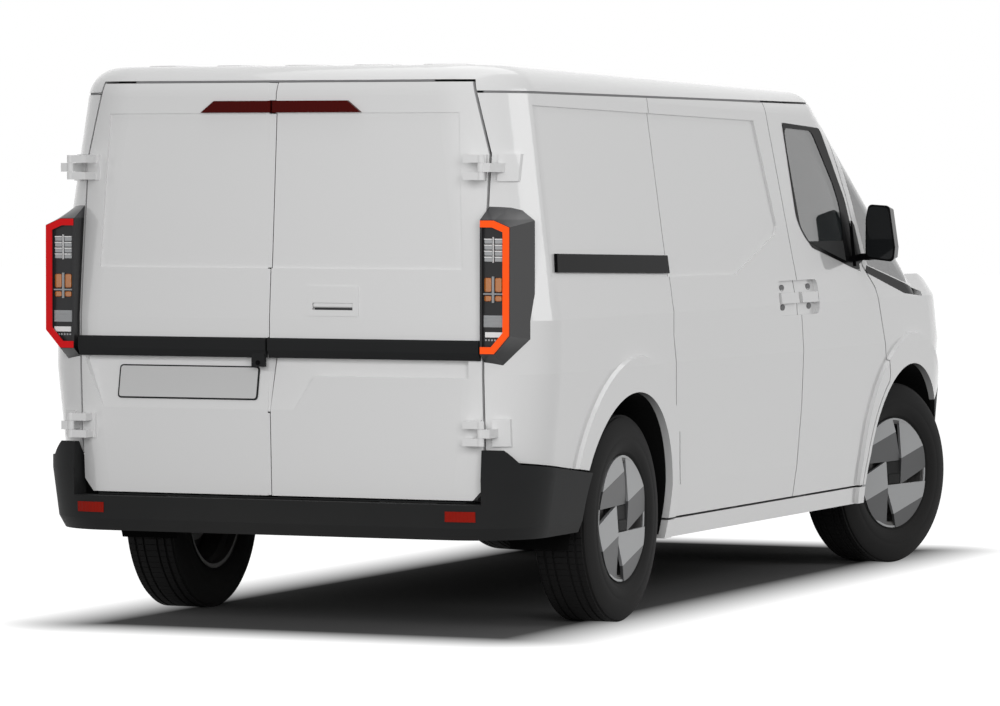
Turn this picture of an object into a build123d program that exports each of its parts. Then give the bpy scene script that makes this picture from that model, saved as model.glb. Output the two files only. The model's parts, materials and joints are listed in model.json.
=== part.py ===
from build123d import *
import math
from functools import lru_cache
import os

os.makedirs("parts", exist_ok=True)

# Electric panel van, millimetres: +X forward, +Y left, +Z up, origin on the ground below the middle

# Driving dimensions along the van
wheelbase = 3110
rear_overhang = 1018
front_overhang = 870
door_face_overhang = 965
rear_axle_x = rear_overhang - (rear_overhang + wheelbase + front_overhang) / 2
front_axle_x = rear_axle_x + wheelbase
rear_face_x = rear_axle_x - door_face_overhang
rear_end_x = rear_axle_x - rear_overhang
nose_x = front_axle_x + front_overhang

# Driving dimensions across and up
body_half_width = 940
body_bottom_z = 265
lower_crease_z = 460
shoulder_low_z = 900
shoulder_z = 1080
roof_rear_z = 1946
roof_front_z = 1888
roof_front_x = nose_x - 1400
hood_rear_x = nose_x - 800
hood_rear_z = 1192
hood_nose_z = 1021
wall = 50
roof_thickness = 38
panel_gap = 8
seat_gap = 0.3
rear_corner_radius = 255
nose_corner_radius = 600
greenhouse_corner_radius = 400
roof_edge_radius = 110
roof_slope = (roof_rear_z - roof_front_z) / (roof_front_x + rear_overhang - rear_axle_x)
rib_count = 5
rib_pitch = 260
rib_width = 180
rib_corner_radius = 60
rib_rise = 6
rib_taper = 55
rib_rear_gap = 190
rib_front_x = 640
cut_reach = 1300

# Wheels and tyres
tyre_radius = 364
tyre_width = 220
rim_radius = 206
tyre_bore_gap = 0.3
half_track = 790
wheel_z = tyre_radius
arch_radius = 445
flare_radius = 505
flare_rise = 70
flare_height = 14
flare_depth = 120
flare_taper = 22

# Steering
kingpin_offset = 60
kingpin_lean = 13
parked_steer = -17.3

# Panel lines
rear_split_y = 33
rocker_top_z = 335
roof_seam_z = 1850
header_z = 1822
slide_rear_x = rear_axle_x + 366
door_arch_radius = arch_radius + 35
b_low = (front_axle_x - 1284, rocker_top_z)
b_mid = (front_axle_x - 1299, 690)
b_top = (front_axle_x - 1504, roof_seam_z)
door_front_x = front_axle_x - 284
front_door_outline = (
    b_low,
    b_mid,
    b_top,
    (front_axle_x - 867, roof_seam_z),
    (front_axle_x - 674, 1480),
    (front_axle_x - 584, 1215),
    (front_axle_x - 459, 1124),
    (door_front_x, 775),
    (door_front_x, rocker_top_z),
)
front_window_outline = (
    (front_axle_x - 1329, 1772),
    (front_axle_x - 898, 1754),
    (front_axle_x - 703, 1474),
    (front_axle_x - 612, 1190),
    (front_axle_x - 704, 1207),
    (front_axle_x - 1160, 1292),
    (front_axle_x - 1270, 1374),
)
quarter_glass_outline = (
    (front_axle_x - 790, header_z - 20),
    (front_axle_x - 626, 1490),
    (front_axle_x - 520, 1216),
    (front_axle_x - 60, 1136),
    (front_axle_x - 60, header_z - 20),
)
belt_band_outline = (
    (front_axle_x - 560, 1188),
    (front_axle_x - 535, 1214),
    (front_axle_x + 130, 1098),
    (front_axle_x + 130, shoulder_z),
    (front_axle_x - 99, 1095),
)
slide_door_outline = (
    (slide_rear_x + 185, rocker_top_z),
    (slide_rear_x + 121, 539),
    (slide_rear_x, 1000),
    (slide_rear_x, roof_seam_z),
    b_top,
    b_mid,
    b_low,
)
side_recess_outline = (
    (rear_axle_x - 719, 1806),
    (b_top[0] - 139, 1776),
    (b_top[0] - 29, 1379),
    (b_top[0] - 63, 1345),
    (b_top[0] - 544, 1205),
    (rear_axle_x - 749, 1215),
)
recess_depth = 7
glass_thickness = 8

# Rear door lines
rear_door_half = 755
rear_door_bottom_z = 472
rear_door_top_z = 1888
rear_door_outline = (
    (-rear_door_half + 40, rear_door_bottom_z),
    (-rear_door_half, rear_door_bottom_z + 46),
    (-rear_door_half, 1640),
    (-rear_door_half + 62, rear_door_top_z),
    (rear_door_half - 62, rear_door_top_z),
    (rear_door_half, 1640),
    (rear_door_half, rear_door_bottom_z + 46),
    (rear_door_half - 40, rear_door_bottom_z),
)
rear_recess_outline = ((-680, 1252), (-655, 1780), (655, 1780), (680, 1252))
plate_recess_outline = (
    (660, 761),
    (-50, 761),
    (-139, 887),
    (-705, 887),
    (-705, 946),
    (734, 946),
    (734, 931),
)
plate_recess_low_depth = 2
plate_recess_high_depth = 38
bar_bottom_z = 947
bar_top_z = 1015
bar_height = 22
camera_y = (42, 91)
camera_low_z = 916
camera_height = 16
door_inner_depth = 8
brake_lamp_outline = ((-300, 1782), (-250, 1822), (250, 1822), (300, 1782))
brake_lamp_height = 14
rear_hinge_proud = 42
rear_hinge_x = rear_face_x - rear_hinge_proud
rear_hinge_y = rear_door_half + 13
rear_hinge_heights = (705, 1595)
hinge_radius = 12
hinge_pin_radius = 6
hinge_plate_reach = 68

# Floor and running gear
floor_top_z = 560
floor_thickness = 40
floor_bottom_z = floor_top_z - floor_thickness
rail_y = 400
rail_width = 60
rail_height = 80
rail_bottom_z = floor_bottom_z - rail_height
rear_house_y = 610
front_house_y = 455
house_thickness = 22
bulkhead_x = b_top[0] - 60
bulkhead_thickness = 30
board_thickness = 12
board_gap = 8
firewall_x = front_axle_x - 170
spindle_radius = 32


# Body levels: height, side inset, rear inset, front inset
lower_levels = (
    (body_bottom_z, 74, 30, 60),
    (lower_crease_z, 43, 12, 8),
    (shoulder_low_z, 0, 0, 50),
    (shoulder_z, 0, 0, 155),
    (shoulder_z + 90, 40, 60, 250),
)
# Greenhouse levels: height, side inset, rear inset, front inset
greenhouse_levels = (
    (shoulder_z, 0, 0, 485),
    (shoulder_z + 880, 122, 40, 1678),
)


def body_outline(side_inset, rear_inset, front_inset, front_radius):
    """Plan outline of the body with round corners."""
    half = body_half_width - side_inset
    rear = rear_face_x + rear_inset
    front = nose_x - front_inset
    rear_radius = rear_corner_radius
    with BuildSketch() as sketch:
        with BuildLine():
            Line((rear + rear_radius, half), (front - front_radius, half))
            RadiusArc((front - front_radius, half), (front, half - front_radius), front_radius)
            Line((front, half - front_radius), (front, -half + front_radius))
            RadiusArc((front, -half + front_radius), (front - front_radius, -half), front_radius)
            Line((front - front_radius, -half), (rear + rear_radius, -half))
            RadiusArc((rear + rear_radius, -half), (rear, -half + rear_radius), rear_radius)
            Line((rear, -half + rear_radius), (rear, half - rear_radius))
            RadiusArc((rear, half - rear_radius), (rear + rear_radius, half), rear_radius)
        make_face()
    return sketch.sketch


def side_prism(points, y_from=-cut_reach, y_to=cut_reach, grow=0):
    """Solid between two Y values over an outline of (x, z) points."""
    with BuildPart() as prism:
        with BuildSketch(Plane.XZ.offset(-y_from)):
            with BuildLine():
                Polyline(*points, close=True)
            make_face()
            if grow:
                offset(amount=grow, kind=Kind.INTERSECTION)
        extrude(amount=-(y_to - y_from))
    return prism.part


def front_prism(points, x_from, x_to, grow=0):
    """Solid between two X values over an outline of (y, z) points."""
    with BuildPart() as prism:
        with BuildSketch(Plane.YZ.offset(x_from)):
            with BuildLine():
                Polyline(*points, close=True)
            make_face()
            if grow:
                offset(amount=grow, kind=Kind.INTERSECTION)
        extrude(amount=x_to - x_from)
    return prism.part


def plan_prism(points, z_from, z_to, grow=0):
    """Solid between two Z values over an outline of (x, y) points."""
    with BuildPart() as prism:
        with BuildSketch(Plane.XY.offset(z_from)):
            with BuildLine():
                Polyline(*points, close=True)
            make_face()
            if grow:
                offset(amount=grow, kind=Kind.INTERSECTION)
        extrude(amount=z_to - z_from)
    return prism.part


def block(x_from, x_to, y_from, y_to, z_from, z_to):
    """Box between two corners."""
    with BuildPart() as box:
        with Locations(((x_from + x_to) / 2, (y_from + y_to) / 2, (z_from + z_to) / 2)):
            Box(x_to - x_from, y_to - y_from, z_to - z_from)
    return box.part


def axle_cylinder(axle_x, radius, y_from, y_to, z=wheel_z):
    """Cylinder along Y about a wheel centre."""
    with BuildPart() as cylinder:
        with BuildSketch(Plane.XZ.offset(-y_from)):
            with Locations((axle_x, z)):
                Circle(radius)
        extrude(amount=-(y_to - y_from))
    return cylinder.part


@lru_cache
def lower_form(inset, bottom_z=body_bottom_z):
    """Outer form up to the shoulder with the bonnet and nose, drawn in by an inset."""
    with BuildPart() as lower:
        for height, side, rear, front in lower_levels:
            level = bottom_z if height == body_bottom_z else height
            front_radius = nose_corner_radius - front / 2
            with BuildSketch(Plane.XY.offset(level)):
                add(body_outline(side + inset, rear + inset, front + inset, front_radius))
        loft(ruled=True)
        with BuildSketch(Plane.XZ):
            with BuildLine():
                Polyline(
                    (hood_rear_x, roof_rear_z),
                    (hood_rear_x, hood_rear_z - inset),
                    (nose_x, hood_nose_z - inset),
                    (nose_x, roof_rear_z),
                    close=True,
                )
            make_face()
        extrude(amount=cut_reach, both=True, mode=Mode.SUBTRACT)
    return lower.part


@lru_cache
def greenhouse_form(inset, roof_inset):
    """Outer form above the shoulder with its round roof edge, drawn in by an inset."""
    with BuildPart() as greenhouse:
        for height, side, rear, front in greenhouse_levels:
            with BuildSketch(Plane.XY.offset(height)):
                add(body_outline(side + inset, rear + inset, front + inset, greenhouse_corner_radius))
        loft(ruled=True)
        with BuildSketch(Plane.XZ):
            with BuildLine():
                Polyline(
                    (rear_end_x, roof_rear_z - roof_inset),
                    (roof_front_x, roof_front_z - roof_inset),
                    (roof_front_x, roof_rear_z * 2),
                    (rear_end_x, roof_rear_z * 2),
                    close=True,
                )
            make_face()
        extrude(amount=cut_reach, both=True, mode=Mode.SUBTRACT)
        roof_face = greenhouse.faces().sort_by(Axis.Z)[-1]
        fillet(roof_face.edges(), roof_edge_radius - roof_inset)
    return greenhouse.part


def arch_flare(axle_x):
    """Raised lip around both wheel openings of one axle."""
    with BuildPart() as cones:
        for side in (1, -1):
            with BuildSketch(Plane.XZ.offset(-side * (body_half_width - flare_depth))):
                with Locations((axle_x, wheel_z + flare_rise)):
                    Circle(flare_radius + flare_depth * math.tan(math.radians(flare_taper)))
            extrude(amount=-side * (flare_depth + flare_height * 2), taper=flare_taper)
    with BuildPart() as flare:
        add(lower_form(-flare_height))
        add(cones.part, mode=Mode.INTERSECT)
    return flare.part


def common(*shapes):
    """Part shared by all of the shapes."""
    with BuildPart() as result:
        add(shapes[0])
        for shape in shapes[1:]:
            add(shape, mode=Mode.INTERSECT)
    return result.part


def skin(outer_inset, inner_inset, within, lower=True, upper=True):
    """Thin layer that follows the body's surface between two insets, inside a region."""
    with BuildPart() as layer:
        if lower:
            add(common(lower_form(outer_inset), within))
        if upper:
            add(common(greenhouse_form(outer_inset, outer_inset), within))
        if lower:
            add(lower_form(inner_inset, body_bottom_z - wall), mode=Mode.SUBTRACT)
        if upper:
            add(greenhouse_form(inner_inset, inner_inset), mode=Mode.SUBTRACT)
    return layer.part


def side_range(side, inner=300):
    """Y limits of everything outboard of an inner plane on one side."""
    return sorted((side * inner, side * cut_reach))


with BuildPart() as body_shell:
    add(lower_form(0))
    add(greenhouse_form(0, 0))
    add(arch_flare(rear_axle_x))
    add(arch_flare(front_axle_x))
    add(lower_form(wall, body_bottom_z - wall), mode=Mode.SUBTRACT)
    add(greenhouse_form(wall, roof_thickness), mode=Mode.SUBTRACT)
    for axle_x in (rear_axle_x, front_axle_x):
        for side in (1, -1):
            add(axle_cylinder(axle_x, arch_radius, *side_range(side)), mode=Mode.SUBTRACT)
    # The underside between the rocker panels is open
    add(block(rear_end_x, nose_x, -front_house_y, front_house_y, 0, body_bottom_z + 20), mode=Mode.SUBTRACT)

half_gap = panel_gap / 2
shell = body_shell.part
front_door_arch = axle_cylinder(front_axle_x, door_arch_radius, *side_range(1))


def export(piece, name):
    """Label one finished piece and write it."""
    piece.part.label = name
    export_step(piece.part, f"parts/{name}.step")


def export_pair(piece, name):
    """Write a left piece, and its mirror image as the right one."""
    export(piece, f"{name}_left")
    with BuildPart() as opposite:
        mirror(piece.part, about=Plane.XZ)
    export(opposite, f"{name}_right")


# Regions that the panels share
cowl_z = shoulder_z + 8
screen_outline = ((-790, 1140), (-700, header_z), (700, header_z), (790, 1140))
post_outline = ((-868, cowl_z), (-868, 1140), (-775, header_z), (775, header_z), (868, 1140), (868, cowl_z))
screen_from_x = front_axle_x - 800
roof_outline = (
    (rear_end_x - 50, roof_seam_z),
    (front_axle_x - 867, roof_seam_z),
    (front_axle_x - 840, header_z),
    (nose_x, header_z),
    (nose_x, roof_rear_z + 50),
    (rear_end_x - 50, roof_rear_z + 50),
)
bumper_top_rear_z = 652
bumper_top_side_z = 603
bumper_top_arch_z = 550
rear_bumper_bottom_z = 340
bumper_wall = wall + 8
bumper_rear_inset = 4
bumper_inner_x = rear_end_x + 2 * bumper_rear_inset + bumper_wall
bumper_bracket_height = 24
rear_bumper_outline = (
    (rear_end_x - 50, rear_bumper_bottom_z),
    (rear_end_x - 50, bumper_top_rear_z),
    (rear_face_x + 12, bumper_top_rear_z),
    (rear_face_x + 50, bumper_top_side_z),
    (rear_axle_x - 400, bumper_top_arch_z),
    (rear_axle_x - 300, bumper_top_arch_z),
    (rear_axle_x - 300, rear_bumper_bottom_z),
)
front_bumper_outline = (
    (front_axle_x + 340, body_bottom_z - 20),
    (front_axle_x + 340, 640),
    (front_axle_x + 560, 800),
    (nose_x + 50, 800),
    (nose_x + 50, body_bottom_z - 20),
)
hood_outline = (
    (front_axle_x + 240, -705),
    (front_axle_x + 700, -560),
    (front_axle_x + 760, -400),
    (front_axle_x + 760, 400),
    (front_axle_x + 700, 560),
    (front_axle_x + 240, 705),
)
headlamp_outline = ((430, 862), (450, 908), (800, 948), (845, 915), (800, 880))

rear_door_prism = {
    grow: front_prism(rear_door_outline, rear_end_x - 50, rear_face_x + 250, grow) for grow in (half_gap, -half_gap)
}
roof_prism = side_prism(roof_outline)
bumper_cut = side_prism(rear_bumper_outline, grow=half_gap)
slide_recess = side_prism(side_recess_outline)
slide_recess_floor = greenhouse_form(recess_depth, recess_depth)


def pressed_recess(outline_prism, floor_form):
    """Cutter for a shallow pressing that follows the body surface."""
    with BuildPart() as cutter:
        add(outline_prism)
        add(floor_form, mode=Mode.SUBTRACT)
    return cutter.part


side_pressing = pressed_recess(slide_recess, slide_recess_floor)

# Side panels from the rear doors to the front doors
side_panels = {}
for side, side_name in ((1, "left"), (-1, "right")):
    rear_end = rear_end_x - 50
    side_area = ((rear_end, rocker_top_z), (rear_end, roof_seam_z), b_top, b_mid, b_low)
    with BuildPart() as panel:
        add(shell)
        add(side_prism(side_area, *side_range(side), grow=-half_gap), mode=Mode.INTERSECT)
        add(rear_door_prism[half_gap], mode=Mode.SUBTRACT)
        add(bumper_cut, mode=Mode.SUBTRACT)
        add(side_pressing, mode=Mode.SUBTRACT)
        add(block(rear_end_x - 50, rear_face_x + 150, *side_range(side, 0), 0, rear_door_bottom_z), mode=Mode.SUBTRACT)
        if side == -1:
            add(side_prism(slide_door_outline, *side_range(side), grow=half_gap), mode=Mode.SUBTRACT)
    side_panels[side] = panel
    export(panel, f"side_panel_{side_name}")

# Sliding door with its half of the handle unit
handle_z = 1105
handle_half_height = 66
handle_depth = 18
handle_low_form = lower_form(handle_depth)
handle_high_form = greenhouse_form(handle_depth, handle_depth)
b_handle_x = b_mid[0] + (b_top[0] - b_mid[0]) * (handle_z - b_mid[1]) / (b_top[1] - b_mid[1])
handle_length = 235
handle_region = block(b_handle_x - 300, b_handle_x + 300, -cut_reach, cut_reach, handle_z - 80, handle_z + 80)
handle_skin = skin(-4, 12, handle_region)
handle_post_skin = skin(-4, handle_depth + 1, handle_region)


def handle_pocket(x_from, x_to, side):
    """Cutter for a handle recess that follows the body surface."""
    with BuildPart() as pocket:
        with BuildSketch(Plane.XZ.offset(-side * 600)):
            with Locations(((x_from + x_to) / 2, handle_z)):
                RectangleRounded(x_to - x_from, 2 * handle_half_height, 28)
        extrude(amount=-side * 500)
        add(handle_low_form, mode=Mode.SUBTRACT)
        add(handle_high_form, mode=Mode.SUBTRACT)
    return pocket.part


def handle_bar(x_from, x_to, side):
    """Handle bar on two posts in its recess."""
    y_ends = side_range(side)
    with BuildPart() as bar:
        add(common(handle_skin, block(x_from, x_to, *y_ends, handle_z - 20, handle_z + 20)))
        for x in (x_from, x_to - 24):
            add(common(handle_post_skin, block(x, x + 24, *y_ends, handle_z - 16, handle_z + 16)))
    return bar.part


with BuildPart() as sliding_door:
    add(shell)
    add(side_prism(slide_door_outline, *side_range(-1), grow=-half_gap), mode=Mode.INTERSECT)
    add(side_pressing, mode=Mode.SUBTRACT)
    add(handle_pocket(b_handle_x - handle_length, b_handle_x + 60, -1), mode=Mode.SUBTRACT)
    add(handle_bar(b_handle_x - handle_length + 18, b_handle_x - 20, -1))
export(sliding_door, "sliding_door")

def roof_z(x):
    """Height of the flat of the roof."""
    return roof_rear_z - (x - rear_end_x) * roof_slope


# Roof with its rear and front headers and long pressed ribs
rib_rear_x = rear_face_x + rib_rear_gap
rib_middle_x = (rib_rear_x + rib_front_x) / 2
roof_plane = Plane(origin=(rib_middle_x, 0, roof_z(rib_middle_x)), x_dir=(1, 0, -roof_slope), z_dir=(roof_slope, 0, 1))
with BuildPart() as roof_panel:
    add(shell)
    add(side_prism(roof_outline, grow=-half_gap), mode=Mode.INTERSECT)
    add(rear_door_prism[half_gap], mode=Mode.SUBTRACT)
    with BuildSketch(roof_plane.offset(-1)):
        with GridLocations(0, rib_pitch, 1, rib_count):
            RectangleRounded(rib_front_x - rib_rear_x, rib_width, rib_corner_radius)
    extrude(amount=rib_rise + 1, taper=rib_taper)
export(roof_panel, "roof_panel")

# Rocker panels below the doors
with BuildPart() as rocker_panels:
    add(shell)
    add(
        block(rear_axle_x + 300, front_axle_x - 300, -cut_reach, cut_reach, 0, rocker_top_z - half_gap),
        mode=Mode.INTERSECT,
    )
export(rocker_panels, "rocker_panels")

# Front doors with their window glass
left_ends = side_range(1)
with BuildPart() as front_door:
    add(shell)
    add(side_prism(front_door_outline, *left_ends, grow=-half_gap), mode=Mode.INTERSECT)
    add(front_door_arch, mode=Mode.SUBTRACT)
    add(side_prism(front_window_outline, *left_ends), mode=Mode.SUBTRACT)
    add(handle_pocket(b_handle_x - 60, b_handle_x + handle_length - 15, 1), mode=Mode.SUBTRACT)
    add(handle_bar(b_handle_x + 20, b_handle_x + handle_length - 33, 1))
export_pair(front_door, "front_door")

cab_region = block(0, nose_x, -cut_reach, cut_reach, shoulder_z, roof_rear_z)
glass_skin = skin(0, glass_thickness, cab_region, lower=False)
with BuildPart() as door_glass:
    add(glass_skin)
    add(side_prism(front_window_outline, *left_ends, grow=-seat_gap), mode=Mode.INTERSECT)
export_pair(door_glass, "door_glass")

# Windscreen, its black surround and the quarter glass
with BuildPart() as windscreen:
    add(glass_skin)
    add(front_prism(screen_outline, screen_from_x, nose_x, grow=-seat_gap), mode=Mode.INTERSECT)
export(windscreen, "windscreen")

post_prism = front_prism(post_outline, screen_from_x, nose_x)
screen_prism = front_prism(screen_outline, screen_from_x, nose_x)
belt_prism = side_prism(belt_band_outline)
quarter_prism = side_prism(quarter_glass_outline)
with BuildPart() as surround_region:
    add(post_prism)
    add(belt_prism)
    add(block(front_axle_x + 100, nose_x, -cut_reach, cut_reach, 0, cowl_z), mode=Mode.SUBTRACT)
    add(side_prism(roof_outline, grow=half_gap), mode=Mode.SUBTRACT)
with BuildPart() as windscreen_surround:
    add(greenhouse_form(0, 0))
    add(greenhouse_form(wall, roof_thickness), mode=Mode.SUBTRACT)
    add(surround_region.part, mode=Mode.INTERSECT)
    add(screen_prism, mode=Mode.SUBTRACT)
    add(side_prism(front_door_outline, grow=half_gap), mode=Mode.SUBTRACT)
export(windscreen_surround, "windscreen_surround")

with BuildPart() as quarter_glass:
    add(glass_skin)
    add(side_prism(quarter_glass_outline, grow=-seat_gap), mode=Mode.INTERSECT)
    add(front_prism(post_outline, screen_from_x, nose_x, grow=seat_gap), mode=Mode.SUBTRACT)
    add(side_prism(belt_band_outline, grow=seat_gap), mode=Mode.SUBTRACT)
    add(side_prism(roof_outline, grow=half_gap), mode=Mode.SUBTRACT)
export(quarter_glass, "quarter_glass")

# Front wings, with the painted pillar behind the quarter glass
with BuildPart() as door_hole:
    add(side_prism(front_door_outline, *left_ends, grow=half_gap))
    add(axle_cylinder(front_axle_x, door_arch_radius - panel_gap, *left_ends), mode=Mode.SUBTRACT)
with BuildPart() as wing:
    add(shell)
    add(block(b_low[0] + 100, nose_x, *left_ends, 0, header_z), mode=Mode.INTERSECT)
    add(door_hole.part, mode=Mode.SUBTRACT)
    add(block(0, front_axle_x - 200, *left_ends, 0, rocker_top_z + half_gap), mode=Mode.SUBTRACT)
    add(side_prism(roof_outline, grow=half_gap), mode=Mode.SUBTRACT)
    add(block(b_low[0], b_top[0] + 580, *left_ends, roof_seam_z - 80, header_z + 50), mode=Mode.SUBTRACT)
    add(front_prism(post_outline, screen_from_x, nose_x, grow=seat_gap), mode=Mode.SUBTRACT)
    add(side_prism(belt_band_outline, grow=seat_gap), mode=Mode.SUBTRACT)
    add(quarter_prism, mode=Mode.SUBTRACT)
    add(side_prism(front_bumper_outline, grow=half_gap), mode=Mode.SUBTRACT)
    add(plan_prism(hood_outline, hood_nose_z - 250, roof_rear_z, grow=half_gap), mode=Mode.SUBTRACT)
    add(front_prism(headlamp_outline, front_axle_x + 300, nose_x), mode=Mode.SUBTRACT)
export_pair(wing, "front_wing")

# Nose panel between the wings, below the bonnet
with BuildPart() as nose_panel:
    add(shell)
    add(block(front_axle_x + 400, nose_x, -300, 300, 0, roof_rear_z), mode=Mode.INTERSECT)
    add(side_prism(front_bumper_outline, grow=half_gap), mode=Mode.SUBTRACT)
    add(plan_prism(hood_outline, hood_nose_z - 250, roof_rear_z, grow=half_gap), mode=Mode.SUBTRACT)
export(nose_panel, "nose_panel")

# Bonnet: an outer skin on an inner frame that is set back so that the front edge clears as it lifts
hood_skin = 8
hood_depth = 24
hood_set_back = 14
hood_low_z = hood_nose_z - 250
with BuildPart() as hood:
    add(skin(0, hood_skin, plan_prism(hood_outline, hood_low_z, roof_rear_z, grow=-half_gap), upper=False))
    hood_frame_area = plan_prism(hood_outline, hood_low_z, roof_rear_z, grow=-half_gap - hood_set_back)
    add(skin(hood_skin, hood_depth, hood_frame_area, upper=False))
    add(greenhouse_form(-panel_gap, -panel_gap), mode=Mode.SUBTRACT)
export(hood, "hood")

with BuildPart() as front_bumper:
    add(shell)
    add(side_prism(front_bumper_outline, grow=-half_gap), mode=Mode.INTERSECT)

# Lower grille: an opening in the front bumper with a frame of slats
grille_half = 470
grille_bottom_z = 400
grille_top_z = 560
slat_pitch = 32
slat_thickness = 9
slat_depth = 30
grille_area = (
    (-grille_half, grille_bottom_z + 50),
    (-grille_half + 60, grille_bottom_z),
    (grille_half - 60, grille_bottom_z),
    (grille_half, grille_bottom_z + 50),
    (grille_half, grille_top_z),
    (-grille_half, grille_top_z),
)
with BuildPart() as bumper_cover:
    add(front_bumper.part)
    add(front_prism(grille_area, front_axle_x + 400, nose_x + 50), mode=Mode.SUBTRACT)
export(bumper_cover, "front_bumper")

with BuildPart() as lower_grille:
    add(lower_form(4))
    add(lower_form(4 + slat_depth, body_bottom_z - wall), mode=Mode.SUBTRACT)
    add(front_prism(grille_area, front_axle_x + 400, nose_x, grow=-seat_gap), mode=Mode.INTERSECT)
    slat_count = int((grille_top_z - grille_bottom_z) / slat_pitch)
    for index in range(slat_count):
        slat_z = grille_bottom_z + slat_pitch * index + slat_thickness
        opening_top = slat_z + slat_pitch - slat_thickness
        for x_side in (1, -1):
            y_ends = sorted((x_side * 6, x_side * (grille_half - 60)))
            add(block(front_axle_x + 300, nose_x, *y_ends, slat_z, opening_top), mode=Mode.SUBTRACT)
export(lower_grille, "lower_grille")

# Headlamps in the corners of the nose
nose_region = block(front_axle_x + 300, nose_x + 50, -cut_reach, cut_reach, 0, roof_rear_z)
lamp_layer = skin(2, 45, nose_region, upper=False)
with BuildPart() as headlamps:
    for side in (1, -1):
        lamp_points = [(side * y, z) for y, z in headlamp_outline]
        add(common(lamp_layer, front_prism(lamp_points, front_axle_x + 300, nose_x, grow=-seat_gap)))
export(headlamps, "headlamps")


def bumper_form(inset, bottom_z=rear_bumper_bottom_z):
    """Outer form of the rear bumper, drawn in by an inset."""
    levels = (
        (bottom_z, 52, 22),
        (rear_bumper_bottom_z + 45, 34, bumper_rear_inset),
        (bumper_top_arch_z, 10, bumper_rear_inset),
        (bumper_top_rear_z + 10, 3, 16),
    )
    with BuildPart() as form:
        for height, side_inset, rear_inset in levels:
            shift = rear_end_x + bumper_rear_inset - rear_face_x
            with BuildSketch(Plane.XY.offset(height)):
                add(body_outline(side_inset + inset - 6, rear_inset + inset + shift, 400, 500))
        loft(ruled=True)
    return form.part


# Rear bumper round the rear corners to the wheel openings
with BuildPart() as rear_bumper:
    add(bumper_form(0))
    add(bumper_form(bumper_wall, rear_bumper_bottom_z - 60), mode=Mode.SUBTRACT)
    add(side_prism(rear_bumper_outline, grow=-half_gap), mode=Mode.INTERSECT)
    for side in (1, -1):
        add(axle_cylinder(rear_axle_x, arch_radius, *side_range(side)), mode=Mode.SUBTRACT)
    add(
        block(
            rear_end_x - 50,
            rear_face_x + 150,
            -rear_door_half - panel_gap,
            rear_door_half + panel_gap,
            rear_door_bottom_z - panel_gap,
            roof_rear_z,
        ),
        mode=Mode.SUBTRACT,
    )
export(rear_bumper, "rear_bumper")

reflector_low_z = 407
reflector_high_z = 442
with BuildPart() as reflector_layer:
    add(bumper_form(-3))
    add(bumper_form(-seat_gap), mode=Mode.SUBTRACT)
with BuildPart() as rear_reflectors:
    for side in (1, -1):
        y_ends = sorted((side * 640, side * 745))
        add(
            common(
                reflector_layer.part,
                block(rear_end_x - 50, rear_face_x + 100, *y_ends, reflector_low_z, reflector_high_z),
            )
        )
export(rear_reflectors, "rear_reflectors")

# Rear doors, split left of the middle; the free edges are bevelled so that either opens first
split_bevel = 14
plate_recess_low_z = min(z for _, z in plate_recess_outline)
plate_recess_high_z = max(z for _, z in plate_recess_outline)
rear_plate_cut = common(
    front_prism(plate_recess_outline, rear_end_x - 50, rear_face_x + 60),
    side_prism(
        (
            (rear_end_x - 50, plate_recess_low_z),
            (rear_face_x + plate_recess_low_depth, plate_recess_low_z),
            (rear_face_x + plate_recess_high_depth, plate_recess_high_z),
            (rear_end_x - 50, plate_recess_high_z),
        )
    ),
)
rear_pressing = pressed_recess(
    front_prism(rear_recess_outline, rear_end_x - 50, rear_face_x + 60),
    greenhouse_form(recess_depth, recess_depth),
)
rear_region = block(rear_end_x - 50, rear_face_x + 300, -cut_reach, cut_reach, 0, roof_rear_z + 50)
finger_skin = skin(-8, 1, rear_region)
handle_panel_skin = skin(-3, 1, rear_region)
rear_handle_y = (-302, -111)
rear_slot_y = (-280, -131)


# The inner side of the rear doors is flat, so that they swing clear of the floor
rear_door_depth = side_prism(
    (
        (rear_end_x - 100, 0),
        (rear_face_x + wall + door_inner_depth, 0),
        (rear_face_x + wall + door_inner_depth, shoulder_z),
        (rear_face_x + wall + door_inner_depth + greenhouse_levels[1][2], greenhouse_levels[1][0]),
        (rear_end_x - 100, greenhouse_levels[1][0]),
    )
)


def door_half(side):
    """Half space of one rear door with the bevelled free edge."""
    near = rear_face_x
    far = rear_face_x + wall
    edge = rear_split_y + side * half_gap
    outline = (
        (near - 200, edge),
        (near, edge),
        (far + 150, edge + side * split_bevel * 4),
        (far + 150, side * cut_reach),
        (near - 200, side * cut_reach),
    )
    return plan_prism(outline, 0, roof_rear_z)


def hinge_fingers(side):
    """Door-side hinge leaves: a plate on the door, two fingers and the pin, at both heights."""
    y_axis = side * rear_hinge_y
    plate = sorted((side * (rear_door_half - 62), side * (rear_door_half - half_gap - 3)))
    with BuildPart() as leaves:
        for height in rear_hinge_heights:
            add(
                common(
                    finger_skin,
                    block(rear_end_x - 50, rear_face_x + 100, *plate, height - 44, height + 44),
                )
            )
            for z_low, z_high in ((height - 42, height - 16), (height + 16, height + 42)):
                arm = sorted((side * (rear_door_half - 50), y_axis))
                add(block(rear_hinge_x - 9, rear_hinge_x + 9, *arm, z_low, z_high))
                root = sorted((side * (rear_door_half - 50), side * (rear_door_half - 24)))
                add(block(rear_hinge_x - 9, rear_face_x + 45, *root, z_low, z_high))
                with BuildSketch(Plane.XY.offset(z_low)):
                    with Locations((rear_hinge_x, y_axis)):
                        Circle(hinge_radius)
                extrude(amount=z_high - z_low)
            with BuildSketch(Plane.XY.offset(height - 42)):
                with Locations((rear_hinge_x, y_axis)):
                    Circle(hinge_pin_radius)
            extrude(amount=84)
    return leaves.part


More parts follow.
